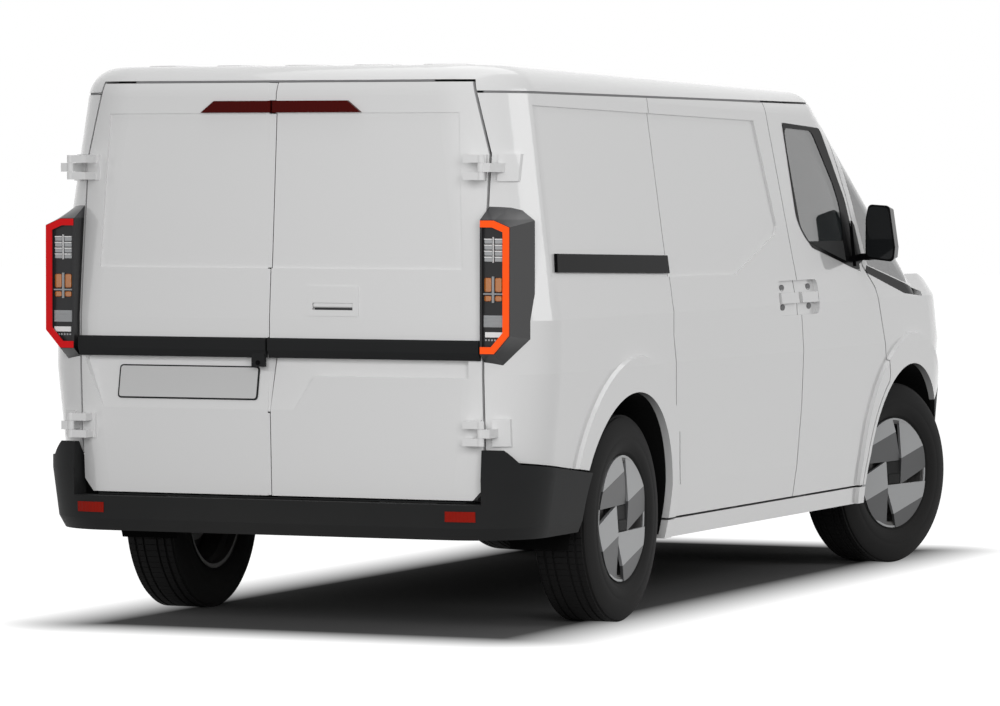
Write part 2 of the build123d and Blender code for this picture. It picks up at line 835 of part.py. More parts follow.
for side, side_name in ((1, "left"), (-1, "right")):
    with BuildPart() as rear_door:
        add(shell)
        add(rear_door_prism[-half_gap], mode=Mode.INTERSECT)
        add(door_half(side), mode=Mode.INTERSECT)
        add(rear_door_depth, mode=Mode.INTERSECT)
        add(rear_plate_cut, mode=Mode.SUBTRACT)
        add(rear_pressing, mode=Mode.SUBTRACT)
        add(hinge_fingers(side))
        if side == -1:
            add(common(handle_panel_skin, block(rear_end_x, rear_face_x + 100, *rear_handle_y, 1091, 1193)))
            add(block(rear_end_x, rear_face_x + 14, *rear_slot_y, 1112, 1136), mode=Mode.SUBTRACT)
    export(rear_door, f"rear_door_{side_name}")

# Black bar across both doors, with a bevelled lower edge and the reversing camera under the left one
for side, side_name in ((1, "left"), (-1, "right")):
    with BuildPart() as rear_bar:
        with BuildSketch(Plane.XZ.offset(-side * (rear_door_half - half_gap))):
            with BuildLine():
                Polyline(
                    (rear_face_x - seat_gap, bar_top_z),
                    (rear_face_x - bar_height + 4, bar_top_z),
                    (rear_face_x - bar_height, bar_top_z - 8),
                    (rear_face_x - bar_height, bar_bottom_z + 26),
                    (rear_face_x - 6, bar_bottom_z),
                    (rear_face_x - seat_gap, bar_bottom_z),
                    close=True,
                )
            make_face()
        extrude(amount=side * (rear_door_half - half_gap - side * rear_split_y - half_gap))
        if side == 1:
            camera_x = (rear_face_x - camera_height, rear_face_x - seat_gap)
            add(block(*camera_x, *camera_y, camera_low_z, bar_bottom_z + 24))
    export(rear_bar, f"rear_bar_{side_name}")

# High brake lamp in two halves
lamp_skin = skin(-brake_lamp_height, -seat_gap, rear_region, lower=False)
lamp_prism = front_prism(brake_lamp_outline, rear_end_x - 50, rear_face_x + 200)
for side, side_name in ((1, "left"), (-1, "right")):
    edge = rear_split_y + side * half_gap
    with BuildPart() as brake_lamp:
        add(lamp_skin)
        add(lamp_prism, mode=Mode.INTERSECT)
        add(block(rear_end_x - 50, 0, *sorted((edge, side * cut_reach)), 0, roof_rear_z), mode=Mode.INTERSECT)
    export(brake_lamp, f"brake_lamp_{side_name}")

# Body-side hinge leaves: a plate round the corner and one lug with the pin bore
leaf_skin = skin(-9, -seat_gap, rear_region)
lug_trim_low = lower_form(-seat_gap)
lug_trim_high = greenhouse_form(-seat_gap, -seat_gap)


def hinge_leaf(side, height):
    """One body-side hinge leaf."""
    y_axis = side * rear_hinge_y
    y_plate = sorted((side * (rear_hinge_y + 14), side * (rear_hinge_y + hinge_plate_reach)))
    y_lug = sorted((y_axis, side * (rear_hinge_y + 34)))
    with BuildPart() as leaf:
        add(block(rear_hinge_x - 6, rear_face_x + 150, *y_lug, height - 15, height + 15))
        with BuildSketch(Plane.XY.offset(height - 15)):
            with Locations((rear_hinge_x, y_axis)):
                Circle(hinge_radius)
        extrude(amount=30)
        add(lug_trim_low, mode=Mode.SUBTRACT)
        add(lug_trim_high, mode=Mode.SUBTRACT)
        add(common(leaf_skin, block(rear_end_x - 50, rear_face_x + 200, *y_plate, height - 46, height + 46)))
        with BuildSketch(Plane.XY.offset(height - 20)):
            with Locations((rear_hinge_x, y_axis)):
                Circle(hinge_pin_radius + 0.5)
        extrude(amount=40, mode=Mode.SUBTRACT)
    return leaf.part


with BuildPart() as rear_hinge_leaves:
    for side in (1, -1):
        for height in rear_hinge_heights:
            add(hinge_leaf(side, height))
export(rear_hinge_leaves, "rear_hinge_leaves")

# Tail lamps: a faceted housing on each rear corner with a coloured ring round its rear face
lamp_height = 32
lamp_depth = 130
lamp_inner_y = rear_door_half + 5
lamp_wall = 8
ring_width = 25
ring_height = 5
ring_margin = 2
lamp_recess_depth = 12
lamp_face_outline = (
    (lamp_inner_y, 970),
    (813, 970),
    (869, 1033),
    (869, 1396),
    (811, 1420),
    (lamp_inner_y, 1420),
)
lamp_root_outline = (
    (lamp_inner_y, 865),
    (822, 880),
    (893, 1016),
    (893, 1417),
    (822, 1470),
    (lamp_inner_y, 1505),
)
lamp_face_x = rear_face_x - lamp_height


def opened_outline(grow_inner):
    """Rear face outline of a lamp with its inner side moved towards the doors."""
    return [(y - grow_inner if y == lamp_inner_y else y, z) for y, z in lamp_face_outline]


with BuildPart() as lamp_housing:
    for points, x in ((lamp_face_outline, lamp_face_x), (lamp_root_outline, rear_face_x + lamp_depth)):
        with BuildSketch(Plane.YZ.offset(x)):
            with BuildLine():
                Polyline(*points, close=True)
            make_face()
    loft(ruled=True)
    add(lower_form(-seat_gap), mode=Mode.SUBTRACT)
    add(greenhouse_form(-seat_gap, -seat_gap), mode=Mode.SUBTRACT)
    # The cells stand in a recess inside the ring
    with BuildSketch(Plane.YZ.offset(lamp_face_x - 1)):
        with BuildLine():
            Polyline(*opened_outline(ring_width - lamp_wall), close=True)
        make_face()
        offset(amount=-ring_width, kind=Kind.INTERSECTION)
    extrude(amount=lamp_recess_depth + 1, mode=Mode.SUBTRACT)
with BuildPart() as tail_lamps:
    add(lamp_housing.part)
    mirror(lamp_housing.part, about=Plane.XZ)
export(tail_lamps, "tail_lamps")

with BuildPart() as lamp_ring:
    with BuildSketch(Plane.YZ.offset(lamp_face_x - ring_height)):
        with BuildLine():
            Polyline(*lamp_face_outline, close=True)
        make_face()
        offset(amount=-ring_margin, kind=Kind.INTERSECTION)
        with BuildLine():
            Polyline(*opened_outline(2 * ring_width), close=True)
        hole_face = make_face(mode=Mode.PRIVATE)
        add(offset(hole_face, amount=-ring_width, kind=Kind.INTERSECTION, mode=Mode.PRIVATE), mode=Mode.SUBTRACT)
    extrude(amount=ring_height - seat_gap)
with BuildPart() as tail_rings:
    add(lamp_ring.part)
    mirror(lamp_ring.part, about=Plane.XZ)
export(tail_rings, "tail_rings")

# Sliding door rail on the right side
rail_outline = (
    (rear_axle_x - 702, 1241),
    (rear_axle_x - 687, 1304),
    (slide_rear_x - half_gap, 1284),
    (slide_rear_x - half_gap, 1220),
)
with BuildPart() as slide_rail:
    add(skin(-5, recess_depth - seat_gap, side_prism(rail_outline, *side_range(-1)), lower=False))
export(slide_rail, "slide_rail")

# Door mirrors: a foot on the window corner and a tall housing
mirror_low_z = 1228
mirror_high_z = 1458
mirror_rear_x = front_axle_x - 624
mirror_front_x = mirror_rear_x + 105
mirror_inner_y = 945
mirror_outer_y = 1070
mirror_corner_radius = 20
mirror_front_radius = 20
mirror_rear_radius = 6
with BuildPart() as door_mirror:
    with BuildSketch(Plane.YZ.offset(mirror_rear_x)):
        with BuildLine():
            Polyline(
                (mirror_inner_y, mirror_low_z + 14),
                ((mirror_outer_y - 6), mirror_low_z),
                (mirror_outer_y, mirror_low_z + 60),
                ((mirror_outer_y - 24), mirror_high_z - 6),
                ((mirror_inner_y + 12), mirror_high_z),
                (mirror_inner_y, mirror_high_z - 60),
                close=True,
            )
        mirror_face = make_face()
        fillet(mirror_face.vertices(), mirror_corner_radius)
    extrude(amount=mirror_front_x - mirror_rear_x, taper=9)
    fillet(door_mirror.faces().sort_by(Axis.X)[-1].edges(), mirror_front_radius)
    fillet(door_mirror.faces().sort_by(Axis.X)[0].edges(), mirror_rear_radius)
    foot = sorted((860, (mirror_inner_y + 20)))
    add(block(mirror_rear_x + 12, mirror_rear_x + 62, *foot, 1236, 1262))
    add(lug_trim_high, mode=Mode.SUBTRACT)
export_pair(door_mirror, "mirror")

# Wheels: each is made about a hub plane whose normal points outboard
tread_half = 82
bead_half = 88
barrel_thickness = 9
flange_radius = 221
cover_radius = 225
cover_plane = 104
cover_back = 89
blade_count = 4
hub_radius = 62
disc_radius = 122
disc_inner = -10
disc_outer = 14
wheel_face = 30
flange_gap = 2.5
cover_start = bead_half + flange_gap
spindle_length = 36
bore_gap = 0.3


def profile_plane(hub):
    """Plane for profiles of revolution: X is the hub's radius and Y its axis."""
    return Plane(origin=hub.origin, x_dir=hub.x_dir, z_dir=hub.x_dir.cross(hub.z_dir))


def turned_plane(hub, distance, angle):
    """Plane parallel to the hub's, moved outboard and turned about its axis."""
    turn = math.radians(angle)
    x_dir = hub.x_dir * math.cos(turn) + hub.y_dir * math.sin(turn)
    return Plane(origin=hub.origin + hub.z_dir * distance, x_dir=x_dir, z_dir=hub.z_dir)


def make_tyre(hub):
    """Tyre body of revolution."""
    half = tyre_width / 2
    bore = rim_radius + bore_gap
    with BuildPart() as tyre:
        with BuildSketch(profile_plane(hub)):
            with BuildLine():
                Polyline((bore, -bead_half), (bore, bead_half), (bore + 22, bead_half))
                ThreePointArc(
                    (bore + 22, bead_half),
                    (bore + 72, half),
                    (tyre_radius - 26, half - 9),
                )
                ThreePointArc(
                    (tyre_radius - 26, half - 9),
                    (tyre_radius - 8, half - 15),
                    (tyre_radius, tread_half),
                )
                Line((tyre_radius, tread_half), (tyre_radius, -tread_half))
                ThreePointArc(
                    (tyre_radius, -tread_half),
                    (tyre_radius - 8, -half + 15),
                    (tyre_radius - 26, -half + 9),
                )
                ThreePointArc(
                    (tyre_radius - 26, -half + 9),
                    (bore + 72, -half),
                    (bore + 22, -bead_half),
                )
                Line((bore + 22, -bead_half), (bore, -bead_half))
            make_face()
        revolve(axis=Axis(hub.origin, hub.z_dir))
    return tyre


def make_wheel(hub):
    """Steel wheel with brake disc and a cover of four bevelled blades."""
    inner = rim_radius - barrel_thickness
    bore = spindle_radius + bore_gap
    with BuildPart() as wheel:
        with BuildSketch(profile_plane(hub)):
            with BuildLine():
                Polyline(
                    (bore, disc_inner),
                    (disc_radius, disc_inner),
                    (disc_radius, disc_outer),
                    (hub_radius, disc_outer),
                    (hub_radius, wheel_face),
                    (inner, wheel_face),
                    (inner, -bead_half - 6),
                    (flange_radius, -bead_half - 6),
                    (flange_radius, -cover_start),
                    (rim_radius, -cover_start),
                    (rim_radius, cover_start),
                    (cover_radius, cover_start),
                    (cover_radius, cover_plane - 8),
                    (cover_radius - 8, cover_plane - 8),
                    (cover_radius - 14, cover_back + 4),
                    (hub_radius, cover_back + 4),
                    (hub_radius, cover_back),
                    (inner, cover_back),
                    (inner, wheel_face + barrel_thickness),
                    (0, wheel_face + barrel_thickness),
                    (0, spindle_length + 1),
                    (bore, spindle_length + 1),
                    close=True,
                )
            make_face()
        revolve(axis=Axis(hub.origin, hub.z_dir))
        r = cover_radius - 3
        for index in range(blade_count):
            turned = turned_plane(hub, cover_start, 360 / blade_count * index)
            with BuildSketch(turned):
                with BuildLine():
                    Polyline((0.22 * r, -0.22 * r), (0.19 * r, 0.98 * r))
                    ThreePointArc((0.19 * r, 0.98 * r), (0.71 * r, 0.70 * r), (0.996 * r, 0.06 * r))
                    Line((0.996 * r, 0.06 * r), (0.22 * r, -0.22 * r))
                make_face()
            extrude(amount=cover_plane - cover_start)
    return wheel


hubs = {
    "rear_left": Plane(origin=(rear_axle_x, half_track, wheel_z), x_dir=(1, 0, 0), z_dir=(0, 1, 0)),
    "rear_right": Plane(origin=(rear_axle_x, -half_track, wheel_z), x_dir=(1, 0, 0), z_dir=(0, -1, 0)),
}
steer = math.radians(parked_steer)
kingpin_y = half_track - kingpin_offset
for side, side_name in ((1, "left"), (-1, "right")):
    out = (-math.sin(steer) * side, math.cos(steer) * side, 0)
    centre = (front_axle_x + out[0] * kingpin_offset, side * kingpin_y + out[1] * kingpin_offset, wheel_z)
    hubs[f"front_{side_name}"] = Plane(origin=centre, x_dir=(math.cos(steer), math.sin(steer), 0), z_dir=out)
for place, hub in hubs.items():
    export(make_tyre(hub), f"tyre_{place}")
    wheel = make_wheel(hub)
    export(wheel, f"wheel_{place}")

# Steering knuckles with their struts on a leaning kingpin axis
lean = math.radians(kingpin_lean)
knuckle_half = 105
knuckle_radius = 33
ball_pin_radius = 11
ball_pin_low = -152
strut_radius = 24
strut_top = 512
strut_offset = 150
strut_foot_rise = 95
for side, side_name in ((1, "left"), (-1, "right")):
    hub = hubs[f"front_{side_name}"]
    pin_axis = Plane(
        origin=(front_axle_x, side * kingpin_y, wheel_z),
        x_dir=(1, 0, 0),
        z_dir=(0, -side * math.sin(lean), math.cos(lean)),
    )
    strut_foot = hub.origin - hub.z_dir * strut_offset + Vector(0, 0, strut_foot_rise)
    strut_line = pin_axis.origin + pin_axis.z_dir * strut_top - strut_foot
    with BuildPart() as knuckle:
        with BuildSketch(pin_axis.offset(-knuckle_half)):
            Circle(knuckle_radius)
        extrude(amount=2 * knuckle_half)
        with BuildSketch(pin_axis.offset(ball_pin_low)):
            Circle(ball_pin_radius)
        extrude(amount=-ball_pin_low)
        with BuildSketch(Plane(origin=strut_foot - hub.z_dir * 15, x_dir=hub.x_dir, z_dir=hub.z_dir)):
            Circle(strut_radius + 4)
        extrude(amount=strut_offset - kingpin_offset)
        with BuildSketch(Plane(origin=strut_foot, x_dir=hub.x_dir, z_dir=strut_line.normalized())):
            Circle(strut_radius)
        extrude(amount=strut_line.length)
        with BuildSketch(hub.offset(-kingpin_offset)):
            Circle(spindle_radius)
        extrude(amount=kingpin_offset + spindle_length)
        with BuildSketch(hub.offset(-kingpin_offset)):
            Circle(hub_radius)
        extrude(amount=kingpin_offset + disc_inner - 5)
        # The strut ends square to the kingpin axis
        with BuildSketch(pin_axis.offset(strut_top)):
            Circle(2 * strut_radius)
        extrude(amount=2 * strut_radius, mode=Mode.SUBTRACT)
        # The lower part keeps clear of the disc
        with BuildSketch(hub.offset(disc_inner - 5)):
            Circle(disc_radius + 60)
            Circle(spindle_radius, mode=Mode.SUBTRACT)
        extrude(amount=60, mode=Mode.SUBTRACT)
    export(knuckle, f"knuckle_{side_name}")

# Rear axle: tube, spindles, spring clamps and two leaf springs on hangers
axle_tube_radius = 45
axle_tube_half = half_track - 62
spring_y = 545
spring_width = 60
spring_half_length = 560
spring_leaf = 22
spring_seat_z = wheel_z + axle_tube_radius - 6
hanger_length = 70
with BuildPart() as rear_axle:
    for radius, half in ((axle_tube_radius, axle_tube_half), (spindle_radius, half_track + spindle_length)):
        with BuildSketch(Plane.XZ.offset(-half)):
            with Locations((rear_axle_x, wheel_z)):
                Circle(radius)
        extrude(amount=2 * half)
    for side in (1, -1):
        with BuildSketch(Plane.XZ.offset(-side * spring_y + spring_width / 2)):
            with BuildLine():
                lower_arc = ThreePointArc(
                    (rear_axle_x - spring_half_length, floor_bottom_z - 40),
                    (rear_axle_x, spring_seat_z),
                    (rear_axle_x + spring_half_length, floor_bottom_z - 40),
                )
                upper_arc = ThreePointArc(
                    (rear_axle_x - spring_half_length, floor_bottom_z - 40 + spring_leaf),
                    (rear_axle_x, spring_seat_z + spring_leaf),
                    (rear_axle_x + spring_half_length, floor_bottom_z - 40 + spring_leaf),
                )
                Line(lower_arc @ 0, upper_arc @ 0)
                Line(lower_arc @ 1, upper_arc @ 1)
            make_face()
        extrude(amount=-spring_width)
        y_ends = (side * spring_y - spring_width / 2, side * spring_y + spring_width / 2)
        for end in (1, -1):
            x_ends = sorted(
                (
                    rear_axle_x + end * spring_half_length,
                    rear_axle_x + end * (spring_half_length - hanger_length),
                )
            )
            add(block(*x_ends, *y_ends, floor_bottom_z - 36, floor_bottom_z - seat_gap))
        add(block(rear_axle_x - 60, rear_axle_x + 60, *y_ends, wheel_z - 52, spring_seat_z + spring_leaf + 12))
export(rear_axle, "rear_axle")

# Front subframe: cross member, posts to the rails, lower arms with ball sockets, steering rack
arm_z = wheel_z + ball_pin_low * math.cos(lean) + 12
ball_y = kingpin_y - ball_pin_low * math.sin(lean) - 12 * math.tan(lean)
arm_width = 54
arm_thickness = 26
subframe_half = 330
subframe_low_z = 225
with BuildPart() as front_subframe:
    add(block(front_axle_x - 150, front_axle_x + 150, -subframe_half, subframe_half, subframe_low_z, subframe_low_z + 60))
    for side in (1, -1):
        for x in (front_axle_x - 150, front_axle_x + 90):
            post = sorted((side * (rail_y - 25), side * (rail_y + 25)))
            foot = sorted((side * (subframe_half - 30), side * (rail_y + 25)))
            add(block(x, x + 60, *post, subframe_low_z, rail_bottom_z - seat_gap))
            add(block(x, x + 60, *foot, subframe_low_z, subframe_low_z + 50))
        with BuildSketch(Plane.XY.offset(arm_z - arm_thickness)):
            with BuildLine():
                Polyline(
                    (front_axle_x - arm_width / 2, side * (ball_y - 20)),
                    (front_axle_x + arm_width / 2, side * (ball_y - 20)),
                    (front_axle_x + arm_width / 2, side * (ball_y - 140)),
                    (front_axle_x + 120, side * (subframe_half - 10)),
                    (front_axle_x - 120, side * (subframe_half - 10)),
                    (front_axle_x - arm_width / 2, side * (ball_y - 140)),
                    close=True,
                )
            make_face()
        extrude(amount=arm_thickness)
        with BuildSketch(Plane.XY.offset(arm_z - arm_thickness)):
            with Locations((front_axle_x, side * ball_y)):
                Circle(arm_width / 2)
        extrude(amount=arm_thickness)
        pin_axis = Plane(
            origin=(front_axle_x, side * kingpin_y, wheel_z),
            x_dir=(1, 0, 0),
            z_dir=(0, -side * math.sin(lean), math.cos(lean)),
        )
        with BuildSketch(pin_axis.offset(ball_pin_low - 40)):
            Circle(ball_pin_radius + bore_gap)
        extrude(amount=80, mode=Mode.SUBTRACT)
    with BuildSketch(Plane.XZ.offset(-subframe_half)):
        with Locations((front_axle_x - 120, subframe_low_z + 82)):
            Circle(24)
    extrude(amount=2 * subframe_half)
export(front_subframe, "front_subframe")

# Drive unit and battery pack, plain blocks at their real places
with BuildPart() as drive_unit:
    add(block(front_axle_x - 80, front_axle_x + 230, -270, 270, subframe_low_z + 60 + seat_gap, 700))
export(drive_unit, "drive_unit")
battery_half = 600
battery_low_z = 250
with BuildPart() as battery_pack:
    add(
        block(
            rear_axle_x + 620,
            front_axle_x - 480,
            -battery_half,
            battery_half,
            battery_low_z,
            rail_bottom_z - seat_gap,
        )
    )
export(battery_pack, "battery_pack")


def wheel_house(axle_x, y_inner):
    """Inner wheel housings of one axle: half shells with a flat inner wall."""
    radius = arch_radius + house_thickness
    y_outer = body_half_width - wall - 22
    with BuildPart() as house:
        for side in (1, -1):
            y_ends = sorted((side * y_inner, side * y_outer))
            y_hollow = sorted((side * (y_inner + house_thickness), side * (y_outer + 1)))
            y_wall = sorted((side * (y_inner - 1), side * (y_inner + house_thickness + 1)))
            add(axle_cylinder(axle_x, radius, *y_ends))
            add(axle_cylinder(axle_x, arch_radius, *y_hollow), mode=Mode.SUBTRACT)
            add(block(axle_x - 600, axle_x + 600, *y_wall, -200, floor_top_z - 15), mode=Mode.SUBTRACT)
        add(block(axle_x - 600, axle_x + 600, -cut_reach, cut_reach, -200, floor_bottom_z - 60), mode=Mode.SUBTRACT)
    return house.part


front_houses = wheel_house(front_axle_x, front_house_y)
rear_houses = wheel_house(rear_axle_x, rear_house_y)
interior_inset = wall + seat_gap
tower_radius = 66
tower_top_z = 905
with BuildPart() as wheel_houses:
    add(rear_houses)
    add(front_houses)
    # Strut towers on the front housings
    for side in (1, -1):
        pin_axis = Plane(
            origin=(front_axle_x, side * kingpin_y, wheel_z),
            x_dir=(1, 0, 0),
            z_dir=(0, -side * math.sin(lean), math.cos(lean)),
        )
        with BuildSketch(pin_axis.offset(strut_top - 80)):
            Circle(tower_radius)
        extrude(amount=100)
        with BuildSketch(pin_axis.offset(strut_top - 200)):
            Circle(strut_radius + 24)
        extrude(amount=200 + seat_gap, mode=Mode.SUBTRACT)
    add(axle_cylinder(front_axle_x, arch_radius, front_house_y + house_thickness, 840), mode=Mode.SUBTRACT)
    add(axle_cylinder(front_axle_x, arch_radius, -840, -front_house_y - house_thickness), mode=Mode.SUBTRACT)
    add(lower_form(interior_inset, body_bottom_z - wall), mode=Mode.INTERSECT)
export(wheel_houses, "wheel_houses")

# Floor pan with two rails, sill supports, wheel openings and the firewall
sill_support_xs = (-820, -180, 560)
sill_support_y = 640
door_relief_block = block(b_low[0] - 260, front_axle_x - 240, -cut_reach, cut_reach, rocker_top_z - 20, shoulder_z)
door_relief = skin(wall - 10, wall + 6, door_relief_block, upper=False)
with BuildPart() as floor_pan:
    add(lower_form(interior_inset, body_bottom_z - wall))
    add(
        block(rear_face_x + wall + 30, firewall_x + 40, -cut_reach, cut_reach, floor_bottom_z, floor_top_z),
        mode=Mode.INTERSECT,
    )
    add(
        block(
            firewall_x,
            firewall_x + 22,
            -body_half_width + wall + 60,
            body_half_width - wall - 60,
            floor_top_z - 5,
            1060,
        )
    )
    sill_form = lower_form(interior_inset, body_bottom_z - wall)
    for side in (1, -1):
        y_ends = sorted((side * (rail_y - rail_width / 2), side * (rail_y + rail_width / 2)))
        add(block(rear_face_x + wall + 30, nose_x - 160, *y_ends, rail_bottom_z, floor_bottom_z))
        # A bracket below the doors carries the rear bumper
        bracket_top_z = rail_bottom_z + bumper_bracket_height
        add(block(bumper_inner_x + seat_gap, rear_face_x + wall + 60, *y_ends, rail_bottom_z, bracket_top_z))
        for x in sill_support_xs:
            support = block(x - 35, x + 35, *side_range(side, sill_support_y), body_bottom_z + 20, floor_bottom_z + 5)
            add(common(sill_form, support))
        for axle_x, y_inner in ((rear_axle_x, rear_house_y), (front_axle_x, front_house_y)):
            y_cut = sorted((side * (y_inner - seat_gap), side * cut_reach))
            add(
                axle_cylinder(axle_x, arch_radius + house_thickness + seat_gap, *y_cut),
                mode=Mode.SUBTRACT,
            )
    add(door_relief, mode=Mode.SUBTRACT)
export(floor_pan, "floor_pan")

# Load floor board between the wheel housings
with BuildPart() as load_floor:
    add(
        block(
            rear_face_x + wall + 60,
            bulkhead_x - board_gap,
            -rear_house_y + board_gap,
            rear_house_y - board_gap,
            floor_top_z + seat_gap,
            floor_top_z + seat_gap + board_thickness,
        )
    )
export(load_floor, "load_floor")

# Bulkhead behind the seats
bulkhead_slab = block(
    bulkhead_x,
    bulkhead_x + bulkhead_thickness,
    -cut_reach,
    cut_reach,
    floor_top_z + seat_gap,
    roof_rear_z,
)
with BuildPart() as bulkhead:
    add(common(lower_form(interior_inset), bulkhead_slab))
    add(common(greenhouse_form(interior_inset, roof_thickness + seat_gap), bulkhead_slab))
    add(block(bulkhead_x - 50, bulkhead_x + 80, -330, 330, 1290, 1640), mode=Mode.SUBTRACT)
export(bulkhead, "bulkhead")

# Steering wheel
wheel_y = 420
wheel_tilt = 28
rim_path_radius = 180
boss_offset = 22
column_centre = Vector(firewall_x - 430, wheel_y, 1130)
column_dir = Vector(-math.cos(math.radians(wheel_tilt)), 0, math.sin(math.radians(wheel_tilt)))
column_plane = Plane(origin=column_centre, x_dir=(0, 1, 0), z_dir=column_dir)
with BuildPart() as steering_wheel:
    with BuildSketch(profile_plane(column_plane)):
        with Locations((rim_path_radius, 0)):
            Circle(15)
    revolve(axis=Axis(column_plane.origin, column_plane.z_dir))
    with BuildSketch(column_plane.offset(-boss_offset)):
        Circle(58)
        Rectangle(2 * rim_path_radius, 34)
        with Locations((0, -rim_path_radius / 2)):
            Rectangle(38, rim_path_radius)
    extrude(amount=20)
export(steering_wheel, "steering_wheel")

# Dashboard against the firewall, with the steering column
dash_low_z = 850
dash_half = 820
with BuildPart() as dashboard:
    with BuildSketch(Plane.XZ.offset(-dash_half)):
        with BuildLine():
            Polyline(
                (firewall_x - seat_gap, dash_low_z),
                (firewall_x - 160, dash_low_z),
                (firewall_x - 300, dash_low_z + 90),
                (firewall_x - 320, dash_low_z + 190),
                (firewall_x - 230, dash_low_z + 245),
                (firewall_x - seat_gap, dash_low_z + 225),
                close=True,
            )
        make_face()
    extrude(amount=2 * dash_half)
    with BuildSketch(column_plane.offset(-boss_offset - seat_gap)):
        Circle(34)
    extrude(amount=-200)
export(dashboard, "dashboard")

# Seats: driver's seat and a double passenger seat, each on a base
seat_base_height = 190
cushion_height = 130
seat_front_x = bulkhead_x + 720
seat_rear_x = bulkhead_x + 200
back_top_z = 1470
headrest_top_z = 1640
seat_rows = ((420, 500), (-420, 500))
with BuildPart() as seat_bases:
    for y, width in seat_rows:
        add(
            block(
                seat_rear_x + 20,
                seat_front_x - 60,
                y - width / 2 + 40,
                y + width / 2 - 40,
                floor_top_z + seat_gap,
                floor_top_z + seat_base_height,
            )
        )
export(seat_bases, "seat_bases")
cushion_low_z = floor_top_z + seat_base_height + seat_gap
with BuildPart() as seats:
    for y, width in seat_rows:
        with BuildSketch(Plane.XZ.offset(-y + width / 2)):
            with BuildLine():
                Polyline(
                    (seat_rear_x, cushion_low_z),
                    (seat_front_x - 60, cushion_low_z),
                    (seat_front_x, cushion_low_z + 20),
                    (seat_front_x, cushion_low_z + cushion_height),
                    (seat_rear_x + 100, cushion_low_z + cushion_height - 25),
                    (seat_rear_x - 60, back_top_z),
                    (seat_rear_x - 150, back_top_z),
                    close=True,
                )
            make_face()
        extrude(amount=-width)
        add(block(seat_rear_x - 150, seat_rear_x - 70, y - 130, y + 130, back_top_z - 10, headrest_top_z))
export(seats, "seats")

# Wipers on the windscreen and the aerial on the roof
wiper_lines = (((560, 1150), (60, 1215)), ((-40, 1150), (-560, 1215)))
with BuildPart() as wipers:
    wiper_layer = skin(-12, -seat_gap, cab_region, lower=False)
    for (y0, z0), (y1, z1) in wiper_lines:
        points = ((y0, z0), (y1, z1), (y1, z1 + 12), (y0, z0 + 18))
        add(common(wiper_layer, front_prism(points, screen_from_x, nose_x)))
export(wipers, "wipers")

aerial_x = rear_axle_x + 1790
aerial_length = 110
aerial_height = 62
aerial_lift = rib_rise + seat_gap
with BuildPart() as roof_aerial:
    with BuildSketch(Plane.XZ.offset(8)):
        with BuildLine():
            Polyline(
                (aerial_x, roof_z(aerial_x) + aerial_lift),
                (aerial_x + aerial_length, roof_z(aerial_x + aerial_length) + aerial_lift),
                (aerial_x + 22, roof_z(aerial_x) + aerial_height),
                (aerial_x - 6, roof_z(aerial_x) + aerial_height),
                close=True,
            )
        make_face()
    extrude(amount=-16)
export(roof_aerial, "roof_aerial")
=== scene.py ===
# %% [markdown]
# # An electric panel van, dressed in Blender
# The van's solids come from the CAD part and stay where they are. This lesson gives them their
# finishes and adds what is too fine for the solids: tread, lamp insides, seats, seals and bolts.
# Everything is in metres: +X runs forward, +Y to the van's left and +Z up.

# %% Load the fixed frame
import json
import math

import bmesh
import bpy
from mathutils import Matrix, Vector


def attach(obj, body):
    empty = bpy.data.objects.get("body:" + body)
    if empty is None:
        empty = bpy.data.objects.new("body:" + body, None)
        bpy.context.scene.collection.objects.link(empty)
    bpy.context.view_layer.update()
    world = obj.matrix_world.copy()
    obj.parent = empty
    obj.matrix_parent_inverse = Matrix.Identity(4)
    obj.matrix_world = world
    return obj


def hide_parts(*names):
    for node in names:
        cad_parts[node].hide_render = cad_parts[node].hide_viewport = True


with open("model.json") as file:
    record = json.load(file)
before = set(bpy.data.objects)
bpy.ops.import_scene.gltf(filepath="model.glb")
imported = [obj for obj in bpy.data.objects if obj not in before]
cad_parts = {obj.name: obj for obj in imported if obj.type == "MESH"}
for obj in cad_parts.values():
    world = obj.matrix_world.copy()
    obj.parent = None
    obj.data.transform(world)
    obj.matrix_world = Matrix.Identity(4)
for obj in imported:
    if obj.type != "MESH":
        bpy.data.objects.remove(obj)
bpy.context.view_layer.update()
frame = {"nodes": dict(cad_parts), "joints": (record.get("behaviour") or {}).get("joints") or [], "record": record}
nodes = frame["nodes"]

# %% [markdown]
# ## Shader maths as Python
# A finish is a small network of nodes. Drawing each wire by hand hides what it computes, so one
# class wraps a socket and turns Python's operators into Math nodes. A line such as
# `dust = (grain - 0.4) * low` then reads as the sum that it is.


# %% A socket that can be added and multiplied
class Wire:
    """One output socket of a node tree, with Python's operators on it."""

    def __init__(self, tree, socket):
        self.tree = tree
        self.socket = socket

    def math(self, operation, *values):
        """A Math node in this wire's tree, fed with up to three values."""
        node = self.tree.nodes.new("ShaderNodeMath")
        node.operation = operation
        for slot, value in zip(node.inputs, values):
            plug(self.tree, slot, value)
        return Wire(self.tree, node.outputs[0])

    def __add__(self, other):
        return self.math("ADD", self, other)

    def __sub__(self, other):
        return self.math("SUBTRACT", self, other)

    def __mul__(self, other):
        return self.math("MULTIPLY", self, other)

    def __truediv__(self, other):
        return self.math("DIVIDE", self, other)

    def ramp(self, start, end):
        """0 at start, 1 at end, and held there."""
        share = (self - start) / (end - start)
        share.socket.node.use_clamp = True
        return share


def plug(tree, slot, value):
    """Links a wire into a slot, or sets the slot's own value."""
    if isinstance(value, Wire):
        tree.links.new(value.socket, slot)
    elif isinstance(value, (tuple, list)) and len(value) == 3 and slot.type == "RGBA":
        slot.default_value = (*value, 1)
    else:
        slot.default_value = value


